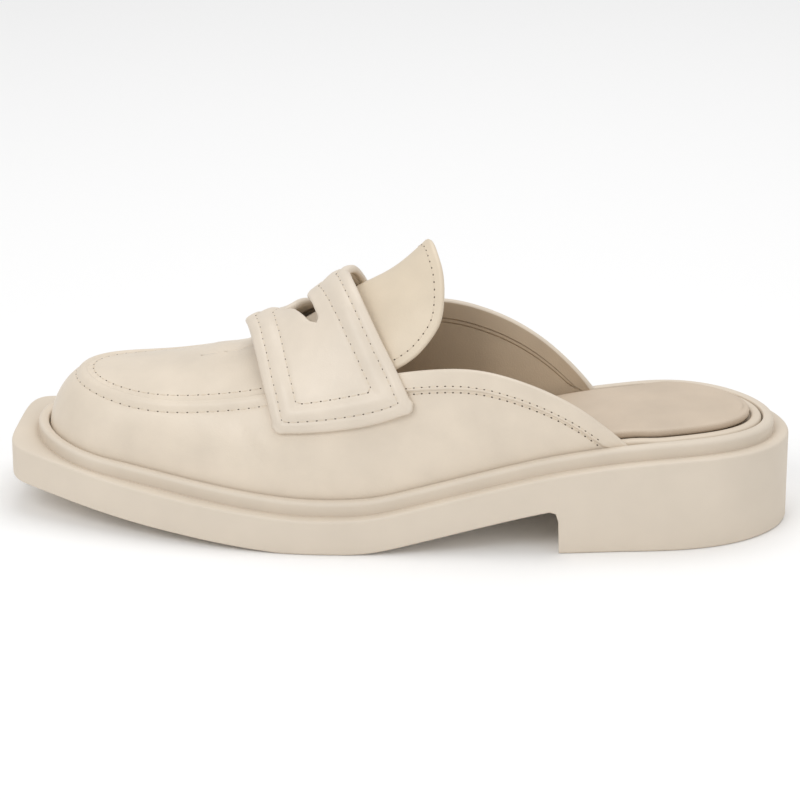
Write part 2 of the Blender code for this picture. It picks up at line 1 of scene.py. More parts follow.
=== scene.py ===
"""Looks for the left penny mule: moulded sole, footbed, sock, leather upper, tongue, strap and stitches.

The toe points to -X, the heel to +X, the outer (lateral) side to -Y and the inner (medial) side to +Y.
The ground is Z = 0. Lengths are in metres. The forms follow the same tables as the part's own source.
"""
import math
from bisect import bisect_right
from collections import namedtuple

import bmesh
import bpy
import numpy as np
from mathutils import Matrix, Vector
from mathutils.bvhtree import BVHTree


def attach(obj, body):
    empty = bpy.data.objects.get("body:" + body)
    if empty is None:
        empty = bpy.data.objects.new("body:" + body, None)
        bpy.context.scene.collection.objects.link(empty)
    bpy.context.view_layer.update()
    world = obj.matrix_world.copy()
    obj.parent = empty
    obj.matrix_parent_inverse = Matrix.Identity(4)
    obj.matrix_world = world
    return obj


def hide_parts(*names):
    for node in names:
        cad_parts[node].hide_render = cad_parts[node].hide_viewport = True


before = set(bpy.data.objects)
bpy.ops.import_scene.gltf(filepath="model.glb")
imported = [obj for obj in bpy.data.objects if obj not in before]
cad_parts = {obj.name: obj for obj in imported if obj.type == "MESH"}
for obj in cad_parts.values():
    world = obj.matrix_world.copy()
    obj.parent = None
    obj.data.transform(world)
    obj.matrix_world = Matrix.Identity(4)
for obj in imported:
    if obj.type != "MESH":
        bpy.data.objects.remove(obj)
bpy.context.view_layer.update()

# Camera, at the photograph's angle
CAMERA_AZIMUTH = 5.5
CAMERA_ELEVATION = 21.0
CAMERA_DISTANCE = 1.2
CAMERA_TARGET = Vector((0.0, 0.0, 0.037))
CAMERA_LENS = 156.6
CAMERA_SENSOR = 36.0

# Sole
LENGTH = 0.267
WIDTH = 0.104
SLAB = 0.0126
HEEL_LIFT = 0.0196
TOE_SPRING = 0.0125
TOE_CORNER = 0.009
HEEL_ROUND = 0.053
BREAST_SLANT = 0.0045
BREAST_SPREAD = 0.09
SLAB_EDGE = 0.0009
TREAD_EDGE = 0.0010
LEDGE = 0.0052
TOE_LEDGE = 0.0074
RIM_WIDTH = 0.0036
RIM_HEIGHT = 0.0046
RIM_ROUND = 0.0015
RIM_GROOVE = 0.0007
CLEARANCE = 0.0003

# Last
LAST_TOE_ROUND = 0.026
UPPER_WALL = 0.0020

# Footbed and sock
BEAD_WIDTH = 0.0036
BEAD_ROUND = 0.0012
SOCK_THICKNESS = 0.0022
SOCK_ROUND = 0.0010
SOCK_CREVICE = 0.0006
SOCK_CROWN = 0.0004
FOOTBED_FADE = 0.012

# Upper, heights above the top of the slab
APRON_WIDTH = 0.056
APRON_ROUND = 0.046
APRON_SPINE = 0.024
TOE_CAP = 0.0130
TOE_CAP_FADE = 0.018
INSTEP = 0.0800
SEAM_RISE = 0.0008
SEAM_WIDTH = 0.0042
SEAM_STARTS, SEAM_FULL = 0.645, 0.670
PUCKER_DEPTH = 0.00028
PUCKER_DOWN = 0.0017
BAND_RISE = 0.0006
BAND_WIDTH = 0.0068
BAND_FULL, BAND_ENDS = 0.490, 0.515
FACING_WIDTH = 0.0072
FACING_RISE = 0.0004
EDGE_ROLL = 0.0007
TONGUE_WALL = 0.0022
TONGUE_ROOT = 0.5884
TONGUE_ROLL = 0.0008
SIDE_GAP = 0.0006

# Saddle strap
STRAP_WALL = 0.0028
STRAP_LIFT = 0.0066
STRAP_SIT = 0.0004
STRAP_FRONT = 0.6985
STRAP_FRONT_LATERAL = 0.6440
STRAP_FRONT_MEDIAL = 0.6620
STRAP_BACK = 0.5690
STRAP_BACK_LATERAL = 0.4700
STRAP_BACK_MEDIAL = 0.5150
STRAP_END_FRONT = 0.0249
STRAP_END_BACK = 0.0306
STRAP_SETTLE_LATERAL = 0.85
STRAP_SETTLE_MEDIAL = 0.50
STRAP_SMOOTHING = 0.004
STRAP_CORNER = 0.0022
STRAP_ROLL = 0.0010
STRAP_EDGE_DROP = 0.0011
STRAP_EDGE_REACH = 0.0032
STRAP_ROW_OUTER = 0.0033
STRAP_ROW_INNER = 0.0093
STRAP_PAD = 0.0006
SLOT_REACH = 0.31

# Stitches
SEAM_PITCH = 0.0036
STRAP_PITCH = 0.0032
TOPLINE_PITCH = 0.0026
TONGUE_PITCH = 0.0026
TONGUE_ROW = 0.0023
TOPLINE_ROW = 0.0010
THREAD_RADIUS = 0.00022
HOLE_RADIUS = 0.00026

HEEL_X = LENGTH / 2
TOE_X = -LENGTH / 2
LATERAL, MEDIAL = -1, 1
LAST_INSET = LEDGE + RIM_WIDTH + CLEARANCE

# Plan of the slab: share of the length from the heel, then each half width as a share of half the width
PlanRow = namedtuple("PlanRow", "along lateral medial")
SOLE_PLAN = [
    PlanRow(0.000, 0.735, 0.735),
    PlanRow(0.100, 0.735, 0.730),
    PlanRow(0.190, 0.745, 0.715),
    PlanRow(0.276, 0.815, 0.665),
    PlanRow(0.350, 0.848, 0.640),
    PlanRow(0.425, 0.900, 0.660),
    PlanRow(0.500, 0.958, 0.745),
    PlanRow(0.560, 0.990, 0.835),
    PlanRow(0.610, 1.000, 0.915),
    PlanRow(0.660, 0.987, 0.975),
    PlanRow(0.710, 0.955, 1.000),
    PlanRow(0.760, 0.902, 0.975),
    PlanRow(0.810, 0.832, 0.905),
    PlanRow(0.875, 0.721, 0.775),
    PlanRow(0.950, 0.560, 0.590),
    PlanRow(1.000, 0.450, 0.450),
]

# Plan of the last: share of its own length from the heel, half widths as shares of half its width
LAST_PLAN = [
    PlanRow(0.000, 0.680, 0.680),
    PlanRow(0.100, 0.680, 0.675),
    PlanRow(0.168, 0.690, 0.655),
    PlanRow(0.262, 0.775, 0.590),
    PlanRow(0.343, 0.816, 0.555),
    PlanRow(0.424, 0.880, 0.585),
    PlanRow(0.505, 0.952, 0.685),
    PlanRow(0.586, 0.995, 0.825),
    PlanRow(0.640, 0.995, 0.925),
    PlanRow(0.690, 0.970, 0.985),
    PlanRow(0.735, 0.925, 0.990),
    PlanRow(0.785, 0.855, 0.940),
    PlanRow(0.840, 0.765, 0.855),
    PlanRow(0.900, 0.690, 0.765),
    PlanRow(1.000, 0.620, 0.660),
]

# Side view of the sole: share of the heel lift and of the toe spring under the slab
LiftRow = namedtuple("LiftRow", "along heel toe")
SOLE_LIFT = [
    LiftRow(0.000, 0.945, 0.000),
    LiftRow(0.060, 0.985, 0.000),
    LiftRow(0.100, 1.000, 0.000),
    LiftRow(0.150, 0.985, 0.000),
    LiftRow(0.220, 0.900, 0.000),
    LiftRow(0.284, 0.785, 0.000),
    LiftRow(0.355, 0.560, 0.000),
    LiftRow(0.420, 0.340, 0.000),
    LiftRow(0.484, 0.130, 0.000),
    LiftRow(0.520, 0.030, 0.000),
    LiftRow(0.545, 0.000, 0.000),
    LiftRow(0.631, 0.000, 0.000),
    LiftRow(0.656, 0.000, 0.040),
    LiftRow(0.702, 0.000, 0.130),
    LiftRow(0.752, 0.000, 0.240),
    LiftRow(0.815, 0.000, 0.385),
    LiftRow(0.871, 0.000, 0.545),
    LiftRow(0.931, 0.000, 0.745),
    LiftRow(1.000, 0.000, 1.000),
]
FLAT_FROM, FLAT_TO = 0.545, 0.631

# Heel breast, from the tread up: share of the sole's length, share of the lift under the slab there
BreastRow = namedtuple("BreastRow", "along up")
HEEL_BREAST = [
    BreastRow(0.2840, 0.00),
    BreastRow(0.2852, 0.72),
    BreastRow(0.2885, 0.93),
    BreastRow(0.2960, 1.00),
]

# Upper edge of the sides of the upper: the topline at the back, the apron seam in front.
# Share of the sole's length, half width as a share of half the apron, height as a share of the instep.
TopRow = namedtuple("TopRow", "along out up")
LATERAL_TOP = [
    TopRow(0.200, 1.060, 0.036),
    TopRow(0.224, 1.082, 0.118),
    TopRow(0.258, 1.115, 0.222),
    TopRow(0.297, 1.132, 0.318),
    TopRow(0.339, 1.115, 0.404),
    TopRow(0.390, 1.085, 0.484),
    TopRow(0.440, 1.050, 0.522),
    TopRow(0.490, 1.030, 0.538),
    TopRow(0.540, 1.020, 0.535),
    TopRow(0.600, 1.010, 0.496),
    TopRow(0.680, 1.000, 0.415),
    TopRow(0.740, 0.980, 0.368),
    TopRow(0.800, 0.960, 0.332),
    TopRow(0.860, 0.960, 0.315),
    TopRow(0.910, 0.970, 0.312),
]
MEDIAL_TOP = [
    TopRow(0.250, 0.915, 0.036),
    TopRow(0.269, 0.890, 0.131),
    TopRow(0.290, 0.878, 0.220),
    TopRow(0.310, 0.875, 0.295),
    TopRow(0.350, 0.878, 0.420),
    TopRow(0.400, 0.905, 0.530),
    TopRow(0.449, 0.945, 0.598),
    TopRow(0.490, 0.970, 0.618),
    TopRow(0.540, 0.990, 0.600),
    TopRow(0.600, 1.000, 0.545),
    TopRow(0.680, 1.000, 0.440),
    TopRow(0.740, 0.985, 0.380),
    TopRow(0.800, 0.970, 0.336),
    TopRow(0.860, 0.970, 0.318),
    TopRow(0.910, 0.980, 0.313),
]

# Ridge line over the middle: share of the sole's length, height as a share of the instep,
# and the power that makes the crown across it peaked or full
CrestRow = namedtuple("CrestRow", "along up power")
CREST = [
    CrestRow(0.400, 1.190, 1.65),
    CrestRow(0.462, 1.006, 1.65),
    CrestRow(0.505, 0.899, 1.65),
    CrestRow(0.550, 0.823, 1.67),
    CrestRow(0.590, 0.732, 1.75),
    CrestRow(0.650, 0.588, 2.00),
    CrestRow(0.710, 0.494, 2.20),
    CrestRow(0.760, 0.436, 2.20),
    CrestRow(0.810, 0.388, 2.20),
    CrestRow(0.860, 0.348, 2.20),
    CrestRow(0.912, 0.316, 2.20),
]

# How far round an elliptic arc each side wall has turned at its top, in degrees
TurnRow = namedtuple("TurnRow", "along degrees")
WALL_TURN = [
    TurnRow(0.19, 35.0),
    TurnRow(0.48, 42.0),
    TurnRow(0.60, 50.0),
    TurnRow(0.72, 64.0),
    TurnRow(0.96, 72.0),
]

# Free edge of the tongue: share of the way out from its middle line, then share of the sole's length
EdgeRow = namedtuple("EdgeRow", "out lateral medial")
TONGUE_EDGE = [
    EdgeRow(0.00, 0.4640, 0.4640),
    EdgeRow(0.14, 0.4585, 0.4690),
    EdgeRow(0.33, 0.4508, 0.4760),
    EdgeRow(0.48, 0.4440, 0.4840),
    EdgeRow(0.62, 0.4404, 0.4920),
    EdgeRow(0.72, 0.4403, 0.4990),
    EdgeRow(0.80, 0.4445, 0.5060),
    EdgeRow(0.88, 0.4590, 0.5130),
    EdgeRow(0.94, 0.4760, 0.5185),
    EdgeRow(1.00, 0.5060, 0.5230),
]

# Slot in the strap: share of its reach out from the middle, then its edges as shares of the strap's width
SlotRow = namedtuple("SlotRow", "out front back")
SLOT = [
    SlotRow(0.00, 0.355, 0.620),
    SlotRow(0.10, 0.400, 0.620),
    SlotRow(0.35, 0.445, 0.620),
    SlotRow(0.70, 0.480, 0.618),
    SlotRow(0.90, 0.520, 0.605),
    SlotRow(1.00, 0.570, 0.570),
]

# How high the strap stands off the vamp over its middle: share of its width, share of the lift
StandRow = namedtuple("StandRow", "across up")
STRAP_STAND = [
    StandRow(0.00, 1.12),
    StandRow(0.36, 0.86),
    StandRow(0.62, 1.00),
    StandRow(1.00, 1.04),
]

# Soft creases in the sides: share of the length and distance below the top edge of the middle,
# how far each reaches along and down, how deep (a ridge is negative), and how much it leans back per metre down
CreaseRow = namedtuple("CreaseRow", "side along down reach_along reach_down depth lean")
CREASES = [
    CreaseRow(LATERAL, 0.672, 0.018, 0.0065, 0.013, 0.00045, -2.2),
    CreaseRow(LATERAL, 0.655, 0.020, 0.0060, 0.012, -0.00030, -2.2),
    CreaseRow(LATERAL, 0.452, 0.022, 0.0100, 0.012, 0.00040, 1.6),
    CreaseRow(MEDIAL, 0.690, 0.018, 0.0065, 0.013, 0.00045, -2.2),
    CreaseRow(MEDIAL, 0.480, 0.022, 0.0100, 0.012, 0.00040, 1.6),
]

# Soft hollow across the apron in front of the strap: share of the length, reach along it, and depth
DipRow = namedtuple("DipRow", "along reach depth")
APRON_DIPS = [
    DipRow(0.712, 0.013, 0.0006),
    DipRow(0.745, 0.012, -0.0003),
]

# Mesh steps
SOLE_STEPS = 110
ARC_STEPS = 4
SOCK_COLUMNS = 26
QUARTER_STEPS = 46
VAMP_STEPS = 84
RIB_STEPS = 32
SECTION_STEPS = 24
TONGUE_COLUMNS = 64
TONGUE_STEPS = 40
STRAP_SIDE_COLUMNS = 34
SLOT_COLUMNS = 22
ROLL_STEPS = 4

# Rows down a wall from its top edge, close together over the seam and the band's step
WALL_ROWS = [0.0, 0.0004, 0.0008, 0.0013, 0.0018, 0.0023, 0.0028, 0.0033, 0.0037, 0.0041, 0.0045, 0.0050]
WALL_ROWS += [0.0055, 0.0060, 0.0063, 0.0066, 0.0068, 0.0070, 0.0073, 0.0077, 0.0082, 0.0090, 0.0100]
WALL_LOWER_ROWS = 16
APRON_ROWS = [0.0, 0.0003, 0.0006, 0.0010, 0.0014, 0.0018, 0.0022, 0.0027, 0.0033, 0.0040]
APRON_INNER_ROWS = 13
STRAP_EDGE_ROWS = [0.0, 0.0007, 0.0015, 0.0023, 0.0029, 0.0033, 0.0037, 0.0044, 0.0053, 0.0063, 0.0073]
STRAP_EDGE_ROWS += [0.0083, 0.0089, 0.0093, 0.0097, 0.0103, 0.0110]


def smooth_curve(table, column):
    """Natural cubic spline through one column of a table, over its first numeric column."""
    knots = [row[0] for row in table]
    values = [getattr(row, column) for row in table]
    count = len(knots)
    gaps = [after - before for before, after in zip(knots, knots[1:])]
    slopes = [(after - before) / gap for before, after, gap in zip(values, values[1:], gaps)]
    system = np.eye(count)
    right = np.zeros(count)
    for i in range(1, count - 1):
        system[i, i - 1:i + 2] = gaps[i - 1], 2 * (gaps[i - 1] + gaps[i]), gaps[i]
        right[i] = 6 * (slopes[i] - slopes[i - 1])
    bends = np.linalg.solve(system, right).tolist()

    def value(at):
        at = min(max(at, knots[0]), knots[-1])
        i = min(bisect_right(knots, at) - 1, count - 2)
        before, after = at - knots[i], knots[i + 1] - at
        curved = (bends[i] * after ** 3 + bends[i + 1] * before ** 3) / (6 * gaps[i])
        start = (values[i] / gaps[i] - bends[i] * gaps[i] / 6) * after
        end = (values[i + 1] / gaps[i] - bends[i + 1] * gaps[i] / 6) * before
        return curved + start + end

    return value


def blend(start, end, share):
    return start + (end - start) * share


def ease(low, high, at):
    """0 below low, 1 above high, and a smooth step between them."""
    share = min(max((at - low) / (high - low), 0.0), 1.0)
    return share * share * (3 - 2 * share)


def hill(at, middle, half):
    """A smooth hill of height 1, falling to 0 at half either side of its middle."""
    share = min(abs(at - middle) / half, 1.0)
    return (1 + math.cos(math.pi * share)) / 2


def along(x):
    """Share of the sole's length from the heel."""
    return (HEEL_X - x) / LENGTH


def end_spaced(steps):
    """Shares from 0 to 1, close together near both ends."""
    return [(1 - math.cos(math.pi * i / steps)) / 2 for i in range(steps + 1)]


HEEL_SHARE = smooth_curve(SOLE_LIFT, "heel")
TOE_SHARE = smooth_curve(SOLE_LIFT, "toe")


def lift(share):
    """Height of the slab's underside."""
    if FLAT_FROM <= share <= FLAT_TO:
        return 0.0
    return max(0.0, HEEL_LIFT * HEEL_SHARE(share) + TOE_SPRING * TOE_SHARE(share))


def slab_top(x):
    share = along(x)
    return SLAB + HEEL_LIFT * HEEL_SHARE(share) + TOE_SPRING * TOE_SHARE(share)


class Outline:
    """A closed plan outline with its ends on the middle line, from half widths on each side."""

    def __init__(self, table, half_width, heel_x, toe_x, heel_round, toe_round, toe_power):
        self.base = {LATERAL: smooth_curve(table, "lateral"), MEDIAL: smooth_curve(table, "medial")}
        self.half_width = half_width
        self.heel_x, self.toe_x = heel_x, toe_x
        self.heel_round, self.toe_round, self.toe_power = heel_round, toe_round, toe_power

    def half(self, side, x):
        share = (self.heel_x - x) / (self.heel_x - self.toe_x)
        from_heel = min(max((self.heel_x - x) / self.heel_round, 0.0), 1.0)
        from_toe = min(max((x - self.toe_x) / self.toe_round, 0.0), 1.0)
        heel = math.sqrt(1 - (1 - from_heel) ** 2)
        toe = (1 - (1 - from_toe) ** self.toe_power) ** (1 / self.toe_power)
        return self.base[side](share) * self.half_width * heel * toe

    def ring(self, shares, grow=0.0, shift=None):
        """Points round the outline, lateral side first, each moved outwards by grow."""
        xs = [blend(self.heel_x, self.toe_x, share) for share in shares]
        lateral = [(x, -self.half(LATERAL, x)) for x in xs]
        moved = [x + (shift(x) if shift else 0.0) for x in xs[1:-1]]
        medial = [(x, self.half(MEDIAL, x)) for x in moved]
        loop = np.array(lateral + medial[::-1])
        tangents = np.roll(loop, -1, axis=0) - np.roll(loop, 1, axis=0)
        normals = np.column_stack([tangents[:, 1], -tangents[:, 0]])
        normals = -normals / np.linalg.norm(normals, axis=1)[:, None]
        grown = [grow(point[0]) if callable(grow) else grow for point in loop]
        return loop + normals * np.array(grown)[:, None]


SOLE = Outline(SOLE_PLAN, WIDTH / 2, HEEL_X, TOE_X, HEEL_ROUND, TOE_CORNER, 4.0)
LAST = Outline(
    LAST_PLAN, WIDTH / 2 - LAST_INSET, HEEL_X - LAST_INSET, TOE_X + TOE_LEDGE + RIM_WIDTH + CLEARANCE,
    HEEL_ROUND - LAST_INSET, LAST_TOE_ROUND, 2.0,
)
TOP = {
    LATERAL: (smooth_curve(LATERAL_TOP, "out"), smooth_curve(LATERAL_TOP, "up")),
    MEDIAL: (smooth_curve(MEDIAL_TOP, "out"), smooth_curve(MEDIAL_TOP, "up")),
}
TOP_ROWS = {LATERAL: LATERAL_TOP, MEDIAL: MEDIAL_TOP}
CREST_UP = smooth_curve(CREST, "up")
CREST_POWER = smooth_curve(CREST, "power")
TURN = smooth_curve(WALL_TURN, "degrees")
TONGUE_REACH = {
    LATERAL: smooth_curve(TONGUE_EDGE, "lateral"),
    MEDIAL: smooth_curve(TONGUE_EDGE, "medial"),
}
SLOT_FRONT = smooth_curve(SLOT, "front")
SLOT_BACK = smooth_curve(SLOT, "back")
STAND = smooth_curve(STRAP_STAND, "up")
STRAP_ENDS = {
    LATERAL: (STRAP_FRONT_LATERAL, STRAP_BACK_LATERAL),
    MEDIAL: (STRAP_FRONT_MEDIAL, STRAP_BACK_MEDIAL),
}
STRAP_SETTLE = {LATERAL: STRAP_SETTLE_LATERAL, MEDIAL: STRAP_SETTLE_MEDIAL}
APRON_TOE_X = LAST.toe_x + TOE_CAP
UPPER_END_X = HEEL_X - LATERAL_TOP[0].along * LENGTH
ROOT_X = HEEL_X - TONGUE_ROOT * LENGTH


# Materials
def new_material(name, color, roughness, metallic=0.0):
    material = bpy.data.materials.new(name)
    material.use_nodes = True
    shader = material.node_tree.nodes["Principled BSDF"]
    shader.inputs["Base Color"].default_value = (*color, 1.0)
    shader.inputs["Roughness"].default_value = roughness
    shader.inputs["Metallic"].default_value = metallic
    return material, material.node_tree, shader


def noise(tree, scale, detail=2.0, roughness=0.5):
    """A noise texture over the object's own coordinates, in metres."""
    place = tree.nodes.new("ShaderNodeTexCoord")
    texture = tree.nodes.new("ShaderNodeTexNoise")
    texture.inputs["Scale"].default_value = scale
    texture.inputs["Detail"].default_value = detail
    texture.inputs["Roughness"].default_value = roughness
    tree.links.new(place.outputs["Object"], texture.inputs["Vector"])
    return texture.outputs["Fac"]


def cells(tree, scale):
    """The distance to the edges of small cells, for leather's grain."""
    place = tree.nodes.new("ShaderNodeTexCoord")
    texture = tree.nodes.new("ShaderNodeTexVoronoi")
    texture.feature = "SMOOTH_F1"
    texture.inputs["Scale"].default_value = scale
    texture.inputs["Smoothness"].default_value = 0.6
    tree.links.new(place.outputs["Object"], texture.inputs["Vector"])
    return texture.outputs["Distance"]


def spread(tree, value, low, high):
    """Map 0..1 to low..high."""
    node = tree.nodes.new("ShaderNodeMapRange")
    node.inputs["To Min"].default_value = low
    node.inputs["To Max"].default_value = high
    node.inputs["From Min"].default_value = 0.3
    node.inputs["From Max"].default_value = 0.7
    tree.links.new(value, node.inputs["Value"])
    return node.outputs["Result"]


def mixed(tree, share, first, second):
    node = tree.nodes.new("ShaderNodeMix")
    node.data_type = "RGBA"
    node.inputs["A"].default_value = (*first, 1.0)
    node.inputs["B"].default_value = (*second, 1.0)
    tree.links.new(share, node.inputs["Factor"])
    return node.outputs["Result"]


def bump(tree, shader, layers):
    """Chain bump nodes; each layer is a height, its strength and its distance in metres."""
    normal = None
    for height, strength, distance in layers:
        node = tree.nodes.new("ShaderNodeBump")
        node.inputs["Strength"].default_value = strength
        node.inputs["Distance"].default_value = distance
        tree.links.new(height, node.inputs["Height"])
        if normal:
            tree.links.new(normal, node.inputs["Normal"])
        normal = node.outputs["Normal"]
    tree.links.new(normal, shader.inputs["Normal"])


def shade(color, factor):
    return tuple(min(1.0, channel * factor) for channel in color)


def leather(name, color, roughness, coat, grain=0.25, mottle=0.05):
    """Smooth finished leather: fine grain, faint mottling, uneven gloss and a thin coat."""
    material, tree, shader = new_material(name, color, roughness)
    tone = spread(tree, noise(tree, 60.0, 3.0), 0.0, 1.0)
    tree.links.new(mixed(tree, tone, shade(color, 1 - mottle), shade(color, 1 + mottle)), shader.inputs["Base Color"])
    gloss = spread(tree, noise(tree, 180.0, 2.0), roughness - 0.05, roughness + 0.05)
    tree.links.new(gloss, shader.inputs["Roughness"])
    bump(tree, shader, [
        (noise(tree, 90.0, 2.0), 0.25, 0.0006),
        (cells(tree, 1900.0), grain, 0.00012),
        (noise(tree, 5200.0, 2.0), grain * 0.8, 0.00005),
    ])
    shader.inputs["Coat Weight"].default_value = coat
    shader.inputs["Coat Roughness"].default_value = 0.35
    shader.inputs["Specular IOR Level"].default_value = 0.45
    shader.inputs["Subsurface Weight"].default_value = 0.0
    return material


def moulded(name, color, roughness):
    """Matt moulded rubber: a fine sandy skin and faint cloudiness."""
    material, tree, shader = new_material(name, color, roughness)
    tone = spread(tree, noise(tree, 45.0, 3.0), 0.0, 1.0)
    tree.links.new(mixed(tree, tone, shade(color, 0.965), shade(color, 1.025)), shader.inputs["Base Color"])
    gloss = spread(tree, noise(tree, 150.0, 2.0), roughness - 0.05, roughness + 0.05)
    tree.links.new(gloss, shader.inputs["Roughness"])
    bump(tree, shader, [
        (noise(tree, 2600.0, 3.0), 0.22, 0.00010),
        (noise(tree, 120.0, 2.0), 0.15, 0.0004),
    ])
    shader.inputs["Specular IOR Level"].default_value = 0.35
    return material


CREAM = (0.735, 0.640, 0.522)
UPPER_LEATHER = leather("upper_leather", CREAM, 0.43, 0.16)
STRAP_LEATHER = leather("strap_leather", (0.735, 0.645, 0.535), 0.43, 0.16)
TONGUE_LEATHER = leather("tongue_leather", (0.715, 0.610, 0.470), 0.45, 0.14)
LINING = leather("lining_leather", (0.590, 0.475, 0.345), 0.62, 0.0, grain=0.35)
SOCK_LEATHER = leather("sock_leather", (0.600, 0.495, 0.385), 0.58, 0.0, grain=0.35)
SOLE_RUBBER = moulded("sole_rubber", (0.700, 0.615, 0.510), 0.60)
BEAD_RUBBER = moulded("footbed_rubber", (0.700, 0.605, 0.490), 0.55)
THREAD, _, thread_shader = new_material("thread", (0.72, 0.62, 0.49), 0.6)
HOLE, _, hole_shader = new_material("needle_holes", (0.105, 0.075, 0.048), 0.8)


# Mesh tools
def mesh_object(name, bm, *materials):
    bmesh.ops.recalc_face_normals(bm, faces=bm.faces)
    mesh = bpy.data.meshes.new(name)
    bm.to_mesh(mesh)
    bm.free()
    for material in materials:
        mesh.materials.append(material)
    mesh.shade_smooth()
    obj = bpy.data.objects.new(name, mesh)
    bpy.context.scene.collection.objects.link(obj)
    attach(obj, "root")
    return obj


def add_loop(bm, points):
    return [bm.verts.new(point) for point in points]


def bridge(bm, first, second):
    """Quads between two closed loops with the same number of points."""
    count = len(first)
    for i in range(count):
        j = (i + 1) % count
        bm.faces.new((first[i], first[j], second[j], second[i]))


def ladder(bm, loop, stations):
    """Cap a loop with rungs from its lateral to its medial points."""
    last = stations - 1
    count = len(loop)
    bm.faces.new((loop[0], loop[1], loop[-1]))
    for i in range(1, last - 1):
        bm.faces.new((loop[i], loop[i + 1], loop[count - i - 1], loop[count - i]))
    bm.faces.new((loop[last - 1], loop[last], loop[last + 1]))


def stacked(bm, rings):
    loops = [add_loop(bm, ring) for ring in rings]
    for lower, upper in zip(loops, loops[1:]):
        bridge(bm, lower, upper)
    return loops


def raised(ring, height):
    """The ring at a height above the slab's top."""
    return [(x, y, slab_top(x) + height) for x, y in ring]


def quarter_arc(start, end, bulge):
    """Profile points on a quarter circle between two corners; bulge is the arc's corner."""
    points = []
    for i in range(ARC_STEPS + 1):
        angle = math.pi / 2 * i / ARC_STEPS
        out, up = 1 - math.cos(angle), 1 - math.sin(angle)
        points.append(tuple(
            corner + (first - corner) * up + (last - corner) * out
            for first, last, corner in zip(start, end, bulge)
        ))
    return points


# Sole
def breast_shift(x):
    """The heel breast runs aslant, further forward on the medial side."""
    apart = (along(x) - HEEL_BREAST[0].along) / BREAST_SPREAD
    return -BREAST_SLANT * math.exp(-apart * apart)


def tread_height(share):
    """Underside of the sole: the heel block stands on the ground behind its breast."""
    if share <= HEEL_BREAST[0].along:
        return 0.0
    for low, high in zip(HEEL_BREAST, HEEL_BREAST[1:]):
        if share <= high.along:
            part = (share - low.along) / (high.along - low.along)
            return blend(low.up, high.up, part) * lift(share)
    return lift(share)


def outsole_shares():
    """Stations along the sole, with one at each corner of the breast and each end of the flat."""
    fixed = [row.along for row in HEEL_BREAST] + [FLAT_FROM, FLAT_TO]
    first, last = HEEL_BREAST[0].along, HEEL_BREAST[-1].along
    room = 0.3 / SOLE_STEPS
    free = [
        share for share in end_spaced(SOLE_STEPS)
        if not first - room < share < last + room and min(abs(share - at) for at in fixed) > room
    ]
    return sorted(free + fixed)


def make_outsole():
    shares = outsole_shares()
    inner, outer = CLEARANCE, CLEARANCE + RIM_WIDTH
    high = RIM_HEIGHT
    profile = [(inner, 0.0005)]
    profile += quarter_arc((inner, high - 0.0006), (inner + 0.0006, high), (inner, high))
    profile += quarter_arc((outer - RIM_ROUND, high), (outer, high - RIM_ROUND), (outer, high))
    profile += [
        (outer, 0.0006),
        (outer + 0.2 * RIM_GROOVE, -0.4 * RIM_GROOVE),
        (outer + 0.8 * RIM_GROOVE, -0.4 * RIM_GROOVE),
        (outer + 1.2 * RIM_GROOVE, 0.0),
    ]
    rings = [raised(LAST.ring(shares, grow), height) for grow, height in profile]
    edge = quarter_arc((-SLAB_EDGE, 0.0), (0.0, -SLAB_EDGE), (0.0, 0.0))
    rings += [raised(SOLE.ring(shares, grow, breast_shift), height) for grow, height in edge]
    around = shares + shares[-2:0:-1]
    foot = quarter_arc((0.0, TREAD_EDGE), (-TREAD_EDGE, 0.0), (0.0, 0.0))
    for grow, height in foot:
        ring = SOLE.ring(shares, grow, breast_shift)
        rings.append([(x, y, tread_height(share) + height) for (x, y), share in zip(ring, around)])
    bm = bmesh.new()
    loops = stacked(bm, rings)
    ladder(bm, loops[0], len(shares))
    ladder(bm, loops[-1], len(shares))
    obj = mesh_object("moulded_sole", bm, SOLE_RUBBER)
    obj.data.set_sharp_from_angle(angle=math.radians(50))
    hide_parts("outsole")


def footbed_inset(x):
    """Room for the upper's wall in front, and only a crevice at the open heel."""
    share = ease(UPPER_END_X, UPPER_END_X + FOOTBED_FADE, x)
    return blend(UPPER_WALL + 2 * CLEARANCE, CLEARANCE, share)


def inside_rings(shares, profile):
    return [
        raised(LAST.ring(shares, lambda x: -footbed_inset(x) - further), height)
        for further, height in profile
    ]


def crowned_cap(bm, loop, stations, columns, height, crown):
    """A cap woven across a loop, a little higher in its middle."""
    count = len(loop)
    previous = [loop[0]]
    for i in range(1, stations):
        if i == stations - 1:
            row = [loop[i]]
        else:
            first, last = loop[i], loop[count - i]
            width = abs(last.co.y - first.co.y)
            row = [first]
            for j in range(1, columns):
                x, y, _ = blend(first.co, last.co, j / columns)
                full = crown * min(1.0, width / (20 * crown)) * (1 - abs(2 * j / columns - 1) ** 3)
                row.append(bm.verts.new((x, y, slab_top(x) + height + full)))
            row.append(last)
        if len(previous) == 1:
            for a, b in zip(row, row[1:]):
                bm.faces.new((previous[0], a, b))
        elif len(row) == 1:
            for a, b in zip(previous, previous[1:]):
                bm.faces.new((row[0], a, b))
        else:
            for a, b, c, d in zip(previous, previous[1:], row[1:], row):
                bm.faces.new((a, b, c, d))
        previous = row


